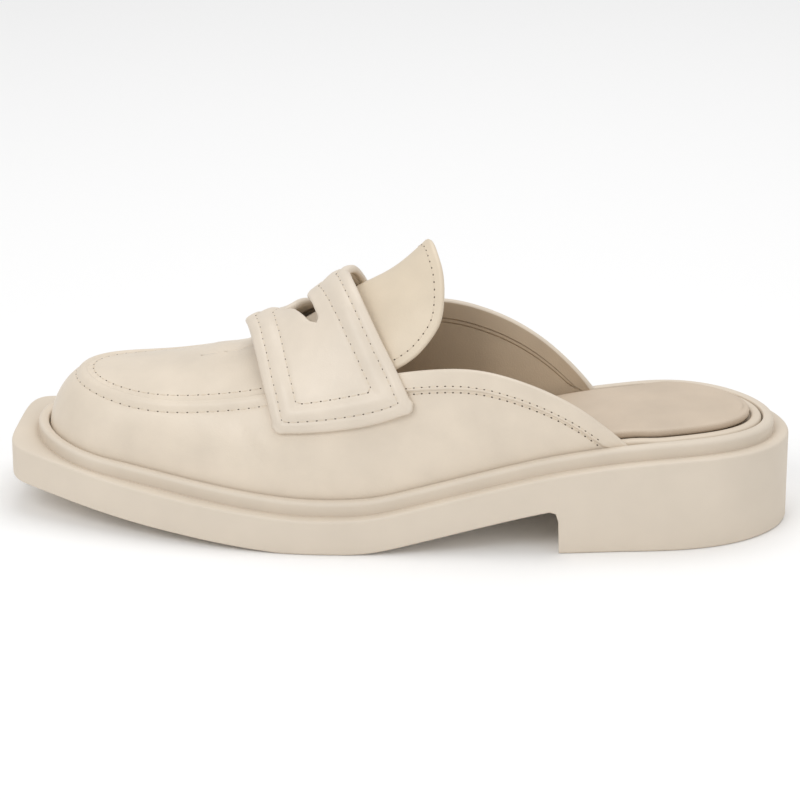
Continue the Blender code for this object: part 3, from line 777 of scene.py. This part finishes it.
def make_midsole():
    shares = end_spaced(SOLE_STEPS)
    high, r = RIM_HEIGHT + 0.0001, BEAD_ROUND
    profile = [(0.0, CLEARANCE)]
    profile += quarter_arc((0.0, high - r), (r, high), (0.0, high))
    profile += quarter_arc((BEAD_WIDTH - 0.8 * r, high), (BEAD_WIDTH, high - 0.8 * r), (BEAD_WIDTH, high))
    profile += [(BEAD_WIDTH + 0.5 * SOCK_CREVICE, high - 1.3 * r)]
    bm = bmesh.new()
    loops = stacked(bm, inside_rings(shares, profile))
    ladder(bm, loops[0], len(shares))
    ladder(bm, loops[-1], len(shares))
    obj = mesh_object("footbed_bead", bm, BEAD_RUBBER)
    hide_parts("midsole")


def make_insole():
    shares = end_spaced(SOLE_STEPS)
    start = BEAD_WIDTH + SOCK_CREVICE
    low = RIM_HEIGHT - 0.0005
    high = RIM_HEIGHT + CLEARANCE + SOCK_THICKNESS - 0.2 * SOCK_CROWN
    r = SOCK_ROUND
    profile = [(start + 0.6 * r, low), (start + 0.1 * r, low + 0.7 * r)]
    profile += quarter_arc((start, high - r), (start + r, high), (start, high))
    profile += [(start + 2.2 * r, high + 0.1 * r)]
    bm = bmesh.new()
    loops = stacked(bm, inside_rings(shares, profile))
    ladder(bm, loops[0], len(shares))
    crowned_cap(bm, loops[-1], len(shares), SOCK_COLUMNS, high + 0.1 * r, SOCK_CROWN)
    obj = mesh_object("padded_sock", bm, SOCK_LEATHER)
    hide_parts("insole")


# Upper
def top_point(side, x):
    """The topline or apron seam on one side."""
    out, up = TOP[side]
    from_toe = min(max((x - APRON_TOE_X) / APRON_ROUND, 0.0), 1.0)
    closing = math.sqrt(1 - (1 - from_toe) ** 2)
    half = out(along(x)) * APRON_WIDTH / 2 * closing
    return np.array([x, side * half, slab_top(x) + up(along(x)) * INSTEP])


def seam_x(x):
    """Station on the topline or apron seam above a station on the feather line."""
    return x + TOE_CAP * math.exp(-(x - LAST.toe_x) / TOE_CAP_FADE)


def wall_points(side, x, steps=RIB_STEPS):
    """One rib of a side wall, from the feather line at x up to the seam or topline."""
    low = np.array([x, side * LAST.half(side, x), slab_top(x) + CLEARANCE])
    high = top_point(side, seam_x(x))
    turn = math.radians(TURN(along(x)))
    angles = turn * np.arange(steps + 1) / steps
    across = (1 - np.cos(angles)) / (1 - math.cos(turn))
    up = np.sin(angles) / math.sin(turn)
    shares = np.column_stack([across, across, up])
    return low + (high - low) * shares


def by_length(points, distances):
    """Points at given distances along a polyline."""
    lengths = np.concatenate([[0.0], np.cumsum(np.linalg.norm(np.diff(points, axis=0), axis=1))])
    return np.column_stack([np.interp(distances, lengths, points[:, axis]) for axis in range(3)])


def path_length(points):
    return float(np.linalg.norm(np.diff(points, axis=0), axis=1).sum())


def apron_at(x, y):
    """The apron and tongue between the two seams, by plan position."""
    lateral, medial = top_point(LATERAL, x), top_point(MEDIAL, x)
    width = medial[1] - lateral[1]
    share = (y - lateral[1]) / width if width > 1e-7 else 0.5
    out = min(max(2 * share - 1, -1.0), 1.0)
    base = blend(lateral[2], medial[2], (1 + out) / 2)
    rise = slab_top(x) + CREST_UP(along(x)) * INSTEP - (lateral[2] + medial[2]) / 2
    return np.array([x, y, base + rise * (1 - abs(out) ** CREST_POWER(along(x)))])


def apron_point(x, out):
    y = blend(top_point(LATERAL, x)[1], top_point(MEDIAL, x)[1], (1 + out) / 2)
    return apron_at(x, y)


def wall_xs(side):
    """Feather-line stations from the back end of a side to the toe."""
    back = HEEL_X - TOP_ROWS[side][0].along * LENGTH
    quarter = [blend(back, ROOT_X, i / QUARTER_STEPS) for i in range(QUARTER_STEPS)]
    vamp = [
        blend(ROOT_X, LAST.toe_x, math.sin(math.pi / 2 * i / VAMP_STEPS))
        for i in range(VAMP_STEPS + 1)
    ]
    return quarter + vamp


def seam_rise(share):
    return SEAM_RISE * ease(SEAM_STARTS, SEAM_FULL, share)


def band_rise(share):
    return BAND_RISE * (1 - ease(BAND_FULL, BAND_ENDS, share))


def wall_relief(side, x, down):
    """The vamp's raised edge in front, the topline band at the back, and soft creases."""
    share = along(seam_x(x))
    seam = 1 - 0.15 * hill(down, 0.0, 0.0010) - ease(0.30 * SEAM_WIDTH, SEAM_WIDTH, down)
    seam -= 0.25 * hill(down, SEAM_WIDTH, 0.0008)
    band = 1 - ease(BAND_WIDTH - 0.0002, BAND_WIDTH + 0.0002, down)
    band += 0.20 * hill(down, BAND_WIDTH - 0.0005, 0.0006) - 0.45 * hill(down, BAND_WIDTH + 0.0003, 0.0005)
    height = seam_rise(share) * seam + band_rise(share) * band
    for crease in CREASES:
        if crease.side == side:
            apart_down = (down - crease.down) / crease.reach_down
            lean = crease.lean * (down - crease.down)
            apart_along = (share - crease.along - lean) / crease.reach_along
            height -= crease.depth * math.exp(-apart_down ** 2 - apart_along ** 2)
    return height


def apron_relief(x, inwards, around):
    """The step down from the vamp's edge, with puckers round the toe and a soft hollow by the strap."""
    share = along(x)
    step = 1 - ease(0.0, 0.0006, inwards)
    step -= 0.20 * hill(inwards, 0.0008, 0.0006)
    height = seam_rise(share) * step
    toe = ease(0.74, 0.84, share)
    wave = (1 + math.cos(2 * math.pi * around / SEAM_PITCH)) / 2
    height -= PUCKER_DEPTH * (0.35 + 0.65 * toe) * wave * hill(inwards, PUCKER_DOWN, 0.0015)
    for dip in APRON_DIPS:
        height -= dip.depth * math.exp(-((share - dip.along) / dip.reach) ** 2) * ease(0.0, 0.012, inwards)
    return height


def grid_normals(grid, outward):
    """Unit normals of a grid of points, turned to the side that outward points to."""
    first = np.gradient(grid, axis=0)
    second = np.gradient(grid, axis=1)
    normals = np.cross(first, second)
    lengths = np.linalg.norm(normals, axis=2)[..., None]
    normals = normals / np.maximum(lengths, 1e-15)
    flip = np.sign((normals * outward).sum(axis=2))
    flip[flip == 0] = 1
    return normals * flip[..., None]


def wall_distances(height, start):
    """Distances of the rows down a wall; they close up where it is low."""
    squeeze = min(1.0, 0.8 * height / WALL_ROWS[-1])
    fine = [squeeze * blend(start, WALL_ROWS[-1], distance / WALL_ROWS[-1]) for distance in WALL_ROWS]
    return fine + [blend(fine[-1], height, i / WALL_LOWER_ROWS) for i in range(1, WALL_LOWER_ROWS + 1)]


def wall_grid(side):
    """Bare points, relief heights and normals of one wall: stations by rows down from the top."""
    base, heights = [], []
    for x in wall_xs(side):
        rib = wall_points(side, x)[::-1]
        start = 0.7 * EDGE_ROLL * ease(ROOT_X, ROOT_X + 0.004, x)
        distances = wall_distances(path_length(rib), start)
        base.append(by_length(rib, distances))
        heights.append([wall_relief(side, x, down) for down in distances])
    base = np.array(base)
    normals = grid_normals(base, np.array([0.0, side, 0.35]))
    return base, np.array(heights), normals


def vamp_grids():
    """Apron rows for each side, from the seam in to the spine of the apron."""
    rows = {}
    spine_x = APRON_TOE_X + APRON_SPINE
    for side in (LATERAL, MEDIAL):
        xs = [seam_x(x) for x in wall_xs(side)[QUARTER_STEPS:]]
        edges = [top_point(side, x) for x in xs]
        steps = [0.0] + [float(np.linalg.norm(b - a)) for a, b in zip(edges[::-1], edges[-2::-1])]
        around = np.cumsum(steps)[::-1]
        grid, heights = [], []
        for x, edge, ahead in zip(xs, edges, around):
            middle_x = max(x, spine_x)
            middle_y = (top_point(LATERAL, middle_x)[1] + top_point(MEDIAL, middle_x)[1]) / 2
            reach = math.hypot(middle_x - edge[0], middle_y - edge[1])
            inner = [blend(APRON_ROWS[-1], reach, i / APRON_INNER_ROWS) for i in range(1, APRON_INNER_ROWS + 1)]
            line, levels = [], []
            for distance in APRON_ROWS + inner:
                share = distance / reach
                line.append(apron_at(blend(edge[0], middle_x, share), blend(edge[1], middle_y, share)))
                levels.append(apron_relief(line[-1][0], distance, ahead))
            grid.append(line)
            heights.append(levels)
        grid = np.array(grid)
        rows[side] = grid, np.array(heights), grid_normals(grid, np.array([0.0, 0.0, 1.0]))
    return rows


def sheet_faces(bm, points, depths, layer):
    """Vertices and faces over a grid; each vertex keeps how far in its inner face lies."""
    made = []
    for row, row_depths in zip(points, depths):
        line = []
        for point, depth in zip(row, row_depths):
            vert = bm.verts.new(point)
            vert[layer] = depth
            line.append(vert)
        made.append(line)
    for first, second in zip(made, made[1:]):
        for i in range(len(first) - 1):
            bm.faces.new((first[i], first[i + 1], second[i + 1], second[i]))
    return made


def thicken(bm, layer, roll, lining):
    """Turn an open sheet into a leather wall with rolled edges; the inside takes material slot lining."""
    bm.normal_update()
    outer = list(bm.verts)
    faces = list(bm.faces)
    border = [edge for edge in bm.edges if edge.is_boundary]
    loops = {edge: edge.link_loops[0] for edge in border}
    away = {}
    for edge in border:
        face = edge.link_faces[0]
        direction = (edge.verts[1].co - edge.verts[0].co).normalized()
        outwards = (edge.verts[0].co + edge.verts[1].co) / 2 - face.calc_center_median()
        outwards -= direction * outwards.dot(direction)
        outwards -= face.normal * outwards.dot(face.normal)
        outwards.normalize()
        for vert in edge.verts:
            away[vert] = away.get(vert, Vector()) + outwards
    inner = {}
    for vert in outer:
        inner[vert] = bm.verts.new(vert.co - vert.normal * vert[layer])
    rims = {}
    for vert, direction in away.items():
        direction.normalize()
        middle = (vert.co + inner[vert].co) / 2
        reach = vert.co - middle
        line = [vert]
        for i in range(1, ROLL_STEPS):
            angle = math.pi * i / ROLL_STEPS
            line.append(bm.verts.new(middle + reach * math.cos(angle) + direction * roll * math.sin(angle)))
        rims[vert] = line + [inner[vert]]
    for edge in border:
        loop = loops[edge]
        first, second = rims[loop.vert], rims[loop.link_loop_next.vert]
        for i in range(ROLL_STEPS):
            bm.faces.new((second[i], first[i], first[i + 1], second[i + 1]))
    for face in faces:
        under = bm.faces.new([inner[vert] for vert in reversed(face.verts)])
        under.material_index = lining


def facing(down):
    """The facing strip inside the topline is a little thicker."""
    return FACING_RISE * (1 - ease(FACING_WIDTH - 0.0003, FACING_WIDTH + 0.0003, down))


def make_upper():
    bm = bmesh.new()
    layer = bm.verts.layers.float.new("depth")
    aprons = vamp_grids()
    for side in (LATERAL, MEDIAL):
        base, heights, normals = wall_grid(side)
        points = base + normals * heights[..., None]
        depths = []
        for x, line in zip(wall_xs(side), heights):
            rib = path_length(wall_points(side, x))
            downs = wall_distances(rib, 0.0)
            back = 1 - ease(BAND_ENDS, BAND_ENDS + 0.03, along(x))
            depths.append([UPPER_WALL + rise + back * facing(down) for rise, down in zip(line, downs)])
        sheet_faces(bm, points, depths, layer)
        grid, levels, ups = aprons[side]
        surface = grid + ups * levels[..., None]
        surface[:, 0] = points[QUARTER_STEPS:, 0]
        sheet_faces(bm, surface, UPPER_WALL + levels, layer)
    bmesh.ops.remove_doubles(bm, verts=bm.verts, dist=2e-6)
    bmesh.ops.recalc_face_normals(bm, faces=bm.faces)
    top = max(bm.faces, key=lambda face: face.calc_center_median().z)
    if top.normal.z < 0:
        bmesh.ops.reverse_faces(bm, faces=bm.faces)
    surface = BVHTree.FromBMesh(bm)
    thicken(bm, layer, EDGE_ROLL, 1)
    obj = mesh_object("leather_upper", bm, UPPER_LEATHER, LINING)
    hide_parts("upper")
    return surface


# Tongue
def tongue_limit():
    return 1 - SIDE_GAP / (APRON_WIDTH / 2)


def tongue_end(out):
    side = MEDIAL if out > 0 else LATERAL
    return HEEL_X - TONGUE_REACH[side](abs(out) / tongue_limit()) * LENGTH - 0.6 * TONGUE_ROLL


def make_tongue():
    shares = [blend(-1.0, 1.0, i / TONGUE_COLUMNS) for i in range(TONGUE_COLUMNS + 1)]
    outs = [tongue_limit() * math.sin(math.pi / 2 * share) for share in shares]
    rows = []
    for i in range(TONGUE_STEPS + 1):
        part = math.sin(math.pi / 2 * i / TONGUE_STEPS)
        rows.append([apron_point(blend(ROOT_X + 2 * CLEARANCE, tongue_end(out), part), out) for out in outs])
    bm = bmesh.new()
    layer = bm.verts.layers.float.new("depth")
    sheet_faces(bm, rows, [[TONGUE_WALL] * len(outs)] * len(rows), layer)
    bmesh.ops.recalc_face_normals(bm, faces=bm.faces)
    top = max(bm.faces, key=lambda face: face.calc_center_median().z)
    if top.normal.z < 0:
        bmesh.ops.reverse_faces(bm, faces=bm.faces)
    surface = BVHTree.FromBMesh(bm)
    thicken(bm, layer, TONGUE_ROLL, 1)
    obj = mesh_object("leather_tongue", bm, TONGUE_LEATHER, LINING)
    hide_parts("tongue")
    return surface, np.array(rows[-1])


# Strap
def half_section(side, x):
    """The outside of the upper at x, from the middle line down to the foot of one wall."""
    crown = [apron_point(x, side * i / SECTION_STEPS) for i in range(SECTION_STEPS + 1)]
    wall = wall_points(side, x, SECTION_STEPS)[::-1]
    return np.array(crown + list(wall[1:]))


def strap_edges(side, out):
    """The x of the strap's front and back edges."""
    front_end, back_end = STRAP_ENDS[side]
    return (
        HEEL_X - blend(STRAP_FRONT, front_end, out) * LENGTH,
        HEEL_X - blend(STRAP_BACK, back_end, out) * LENGTH,
    )


def strap_point(side, out, across, height):
    """A point over the strap's underside: out runs from the middle to its end, across from front to back."""
    x = blend(*strap_edges(side, out), across)
    section = half_section(side, x)
    low = slab_top(x) + blend(STRAP_END_FRONT, STRAP_END_BACK, across)
    end = next(i for i, point in enumerate(section) if point[2] < low)
    share = (section[end - 1][2] - low) / (section[end - 1][2] - section[end][2])
    path = np.vstack([section[:end], blend(section[end - 1], section[end], share)])
    distance = out * path_length(path)
    middle = by_length(path, [distance])[0]
    before = max(0.0, distance - STRAP_SMOOTHING)
    before, after = by_length(section, [before, distance + STRAP_SMOOTHING])
    slope = after - before
    if distance < STRAP_SMOOTHING:
        slope = slope + np.array([0.0, side * 2 * (STRAP_SMOOTHING - distance), 0.0])
    normal = np.array([0.0, -slope[2] * side, slope[1] * side])
    normal /= np.linalg.norm(normal)
    if normal[1] * side < 0:
        normal[1] = -normal[1]
    share = along(x)
    stand = STRAP_SIT + seam_rise(share) + band_rise(share) + height
    stand += STRAP_LIFT * STAND(across) * (1 - ease(0.0, STRAP_SETTLE[side], out))
    return middle + normal * stand


def strap_reach(side, across):
    """Rough arc length from the strap's middle to its end."""
    return STRAP_REACH[side]


STRAP_REACH = {LATERAL: 0.052, MEDIAL: 0.048}


def rounded_out(side, out, across, width):
    """Pull the end in near its corners, so that they are round."""
    near = min(across, 1 - across) * width
    if near >= STRAP_CORNER:
        return out
    pull = STRAP_CORNER - math.sqrt(STRAP_CORNER ** 2 - (STRAP_CORNER - near) ** 2)
    return out - ease(0.86, 1.0, out) * pull / STRAP_REACH[side]


def strap_relief(from_edge):
    """A rolled edge, a padded border between the two stitch rows, and a flat panel inside them."""
    groove = 0.0004 * hill(from_edge, STRAP_ROW_OUTER, 0.0009) + 0.0003 * hill(from_edge, STRAP_ROW_INNER, 0.0008)
    middle = (STRAP_ROW_OUTER + STRAP_ROW_INNER) / 2
    pad = STRAP_PAD * hill(from_edge, middle, (STRAP_ROW_INNER - STRAP_ROW_OUTER) / 2)
    turned = 1 - min(from_edge / STRAP_EDGE_REACH, 1.0)
    return pad - groove - STRAP_EDGE_DROP * turned * turned


def strap_columns():
    """Out positions from one end to the other, closer near the ends and round the slot."""
    slot = [SLOT_REACH * math.sin(math.pi / 2 * i / SLOT_COLUMNS) for i in range(SLOT_COLUMNS)]
    rest = []
    for i in range(STRAP_SIDE_COLUMNS + 1):
        share = i / STRAP_SIDE_COLUMNS
        rest.append(blend(SLOT_REACH, 1.0, share ** 0.8))
    return slot + rest


def strap_span(side, out):
    front, back = strap_edges(side, out)
    return back - front


def strap_rows(side, out, part):
    """Across positions of one column of the front or the back strip."""
    width = strap_span(side, out)
    reach = min(out / SLOT_REACH, 1.0)
    if part == "front":
        inner = SLOT_FRONT(reach) * width
        edge = [distance for distance in STRAP_EDGE_ROWS]
    else:
        inner = (1 - SLOT_BACK(reach)) * width
        edge = [distance for distance in STRAP_EDGE_ROWS]
    squeeze = min(1.0, 0.85 * inner / edge[-1])
    fine = [distance * squeeze for distance in edge]
    extra = [blend(fine[-1], inner, share) for share in (0.35, 0.7, 0.9, 1.0)]
    shares = [distance / width for distance in fine + extra]
    return shares if part == "front" else [1 - share for share in shares]


def strap_surface_point(side, out, across):
    width = strap_span(side, out)
    placed = rounded_out(side, out, across, width)
    from_edge = min(across * width, (1 - across) * width, (1 - out) * STRAP_REACH[side])
    corner = STRAP_CORNER + 0.0012
    near_side = min(across, 1 - across) * width
    near_end = (1 - out) * STRAP_REACH[side]
    if near_side < corner and near_end < corner:
        from_edge = corner - math.hypot(corner - near_side, corner - near_end)
    return strap_point(side, placed, across, STRAP_WALL + strap_relief(max(from_edge, 0.0)))


def make_strap():
    outs = strap_columns()
    columns = [(LATERAL, out) for out in outs[::-1]] + [(MEDIAL, out) for out in outs[1:]]
    bm = bmesh.new()
    layer = bm.verts.layers.float.new("depth")
    for part in ("front", "back"):
        lines = []
        for side, out in columns:
            rows = strap_rows(side, out, part)
            lines.append([strap_surface_point(side, out, across) for across in rows])
        depths = [[STRAP_WALL] * len(lines[0])] * len(lines)
        sheet_faces(bm, lines, depths, layer)
    bmesh.ops.remove_doubles(bm, verts=bm.verts, dist=2e-6)
    bmesh.ops.recalc_face_normals(bm, faces=bm.faces)
    top = max(bm.faces, key=lambda face: face.calc_center_median().z)
    if top.normal.z < 0:
        bmesh.ops.reverse_faces(bm, faces=bm.faces)
    surface = BVHTree.FromBMesh(bm)
    thicken(bm, layer, STRAP_ROLL, 0)
    obj = mesh_object("leather_strap", bm, STRAP_LEATHER, LINING)
    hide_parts("strap")
    return surface


# Stitches
def spaced(points, pitch):
    """Points at an even pitch along a polyline, with a whole number of stitches."""
    points = np.array(points)
    count = max(1, round(path_length(points) / pitch))
    return by_length(points, np.linspace(0.0, path_length(points), count + 1))


def dot(bm, center, tangent, normal, half_length, half_width, height, sides, slot):
    """A small rounded grain, long along the tangent."""
    sideways = normal.cross(tangent).normalized()
    loops = []
    for lengthwise, size in ((-0.75, 0.66), (0.0, 1.0), (0.75, 0.66)):
        loop = []
        for i in range(sides):
            angle = 2 * math.pi * i / sides
            loop.append(bm.verts.new(
                center + tangent * half_length * lengthwise
                + sideways * half_width * size * math.cos(angle)
                + normal * height * size * math.sin(angle)
            ))
        loops.append(loop)
    tips = [bm.verts.new(center + tangent * half_length * end - normal * height * 0.5) for end in (-1, 1)]
    for first, second in zip(loops, loops[1:]):
        for i in range(sides):
            j = (i + 1) % sides
            bm.faces.new((first[i], first[j], second[j], second[i])).material_index = slot
    for tip, loop in zip(tips, (loops[0], loops[-1])):
        for i in range(sides):
            bm.faces.new((tip, loop[i], loop[(i + 1) % sides])).material_index = slot


def sew(name, surface, paths, pitch):
    """Thread and needle holes along paths that lie on or near a surface."""
    bm = bmesh.new()
    for path in paths:
        places = []
        for point in spaced(path, pitch):
            place, normal, _, _ = surface.find_nearest(Vector(point))
            places.append((place, normal))
        for (first, n1), (second, n2) in zip(places, places[1:]):
            tangent = (second - first).normalized()
            normal = (n1 + n2).normalized()
            middle, _, _, _ = surface.find_nearest((first + second) / 2)
            length = (second - first).length
            dot(bm, middle, tangent, normal, 0.34 * length, THREAD_RADIUS, 0.8 * THREAD_RADIUS, 6, 0)
        for i, (place, normal) in enumerate(places):
            ahead = places[min(i + 1, len(places) - 1)][0] - places[max(i - 1, 0)][0]
            tangent = ahead.normalized()
            dot(bm, place, tangent, normal, 1.5 * HOLE_RADIUS, HOLE_RADIUS, 0.25 * HOLE_RADIUS, 8, 1)
    obj = mesh_object(name, bm, THREAD, HOLE)
    return obj


def wall_path(side, down, first, last, count=80):
    """Points on the wall at one distance below its top edge, between two shares of the length."""
    path = []
    for i in range(count + 1):
        x = HEEL_X - blend(first, last, i / count) * LENGTH
        rib = wall_points(side, x)[::-1]
        path.append(by_length(rib, [down])[0])
    return path


def sew_upper(surface):
    toe_share = along(LAST.toe_x)
    lower = wall_path(LATERAL, 0.0041, 0.655, toe_share - 0.0002, 160)
    lower += wall_path(MEDIAL, 0.0041, 0.672, toe_share - 0.0002, 160)[::-1]
    upper = []
    for side, first in ((LATERAL, 0.655), (MEDIAL, 0.672)):
        line = []
        for i in range(121):
            x = HEEL_X - blend(first, along(APRON_TOE_X) - 0.0002, i / 120) * LENGTH
            edge = top_point(side, x)
            ahead, behind = top_point(side, max(x - 0.0002, APRON_TOE_X)), top_point(side, x + 0.0002)
            tangent = ahead[:2] - behind[:2]
            tangent /= np.linalg.norm(tangent)
            inward = np.array([-tangent[1], tangent[0]])
            if inward[1] * side > 0:
                inward = -inward
            place = edge[:2] + inward * 0.0026
            line.append(apron_at(place[0], place[1]))
        upper.append(line)
    sew("apron_stitches", surface, [lower, upper[0] + upper[1][::-1]], SEAM_PITCH)
    bands = []
    for side, first, last in ((LATERAL, 0.240, 0.500), (MEDIAL, 0.285, 0.540)):
        for down in (BAND_WIDTH - TOPLINE_ROW, BAND_WIDTH + TOPLINE_ROW):
            bands.append(wall_path(side, down, first, last))
    sew("topline_stitches", surface, bands, TOPLINE_PITCH)


def sew_tongue(surface, edge):
    """One row inside the free edge of the tongue."""
    path = []
    for before, point, after in zip(edge, edge[1:], edge[2:]):
        _, normal, _, _ = surface.find_nearest(Vector(point))
        tangent = Vector(after - before).normalized()
        inward = tangent.cross(normal).normalized()
        if inward.x > 0:
            inward = -inward
        path.append(np.array(Vector(point) + inward * TONGUE_ROW))
    kept = [point for point in path[2:-2]]
    sew("tongue_stitches", surface, [kept], TONGUE_PITCH)


def strap_row(inset):
    """A closed path round the strap at one distance from its edge."""
    path = []
    for side in (LATERAL, MEDIAL):
        end = 1 - inset / STRAP_REACH[side]
        outs = [end * i / 60 for i in range(61)]
        front = [strap_surface_point(side, out, inset / strap_span(side, out)) for out in outs]
        back = [strap_surface_point(side, out, 1 - inset / strap_span(side, out)) for out in outs]
        width = strap_span(side, end)
        shares = [blend(inset / width, 1 - inset / width, i / 30) for i in range(1, 30)]
        bottom = [strap_surface_point(side, end, across) for across in shares]
        half = front + bottom + back[::-1]
        path.append(half)
    return path


def sew_strap(surface):
    paths = strap_row(STRAP_ROW_OUTER) + strap_row(STRAP_ROW_INNER)
    sew("strap_stitches", surface, paths, STRAP_PITCH)


# Studio
def area_light(name, place, aim, size, power):
    data = bpy.data.lights.new(name, "AREA")
    data.shape = "RECTANGLE"
    data.size, data.size_y = size
    data.energy = power
    light = bpy.data.objects.new(name, data)
    light.location = place
    light.rotation_euler = (Vector(aim) - Vector(place)).to_track_quat("-Z", "Y").to_euler()
    bpy.context.scene.collection.objects.link(light)


def make_studio():
    azimuth, elevation = math.radians(CAMERA_AZIMUTH), math.radians(CAMERA_ELEVATION)
    back = Vector((
        math.sin(azimuth) * math.cos(elevation), -math.cos(azimuth) * math.cos(elevation), math.sin(elevation),
    ))
    data = bpy.data.cameras.new("photo_camera")
    data.lens = CAMERA_LENS
    data.sensor_width = CAMERA_SENSOR
    camera = bpy.data.objects.new("photo_camera", data)
    camera.location = CAMERA_TARGET + back * CAMERA_DISTANCE
    camera.rotation_euler = (-back).to_track_quat("-Z", "Y").to_euler()
    bpy.context.scene.collection.objects.link(camera)
    bpy.context.scene.camera = camera

    bm = bmesh.new()
    bmesh.ops.create_grid(bm, x_segments=1, y_segments=1, size=6.0)
    mesh = bpy.data.meshes.new("floor")
    bm.to_mesh(mesh)
    bm.free()
    floor = bpy.data.objects.new("floor", mesh)
    material, tree, shader = new_material("pale_floor", (0.97, 0.97, 0.97), 0.95)
    mesh.materials.append(material)
    bpy.context.scene.collection.objects.link(floor)

    world = bpy.data.worlds.new("studio")
    world.use_nodes = True
    sky = world.node_tree.nodes["Background"]
    sky.inputs["Color"].default_value = (1.0, 1.0, 1.0, 1.0)
    sky.inputs["Strength"].default_value = 0.62
    bpy.context.scene.world = world
    bpy.context.scene.view_settings.view_transform = "Standard"
    area_light("key", (-0.45, -0.75, 0.85), (0.0, 0.0, 0.04), (0.7, 0.5), 3.6)
    area_light("top", (0.1, 0.25, 1.1), (0.0, 0.0, 0.04), (0.9, 0.9), 4.4)
    area_light("fill", (0.8, -0.7, 0.45), (0.0, 0.0, 0.04), (0.6, 0.6), 0.8)


make_studio()
make_outsole()
make_midsole()
make_insole()
sew_upper(make_upper())
sew_tongue(*make_tongue())
sew_strap(make_strap())
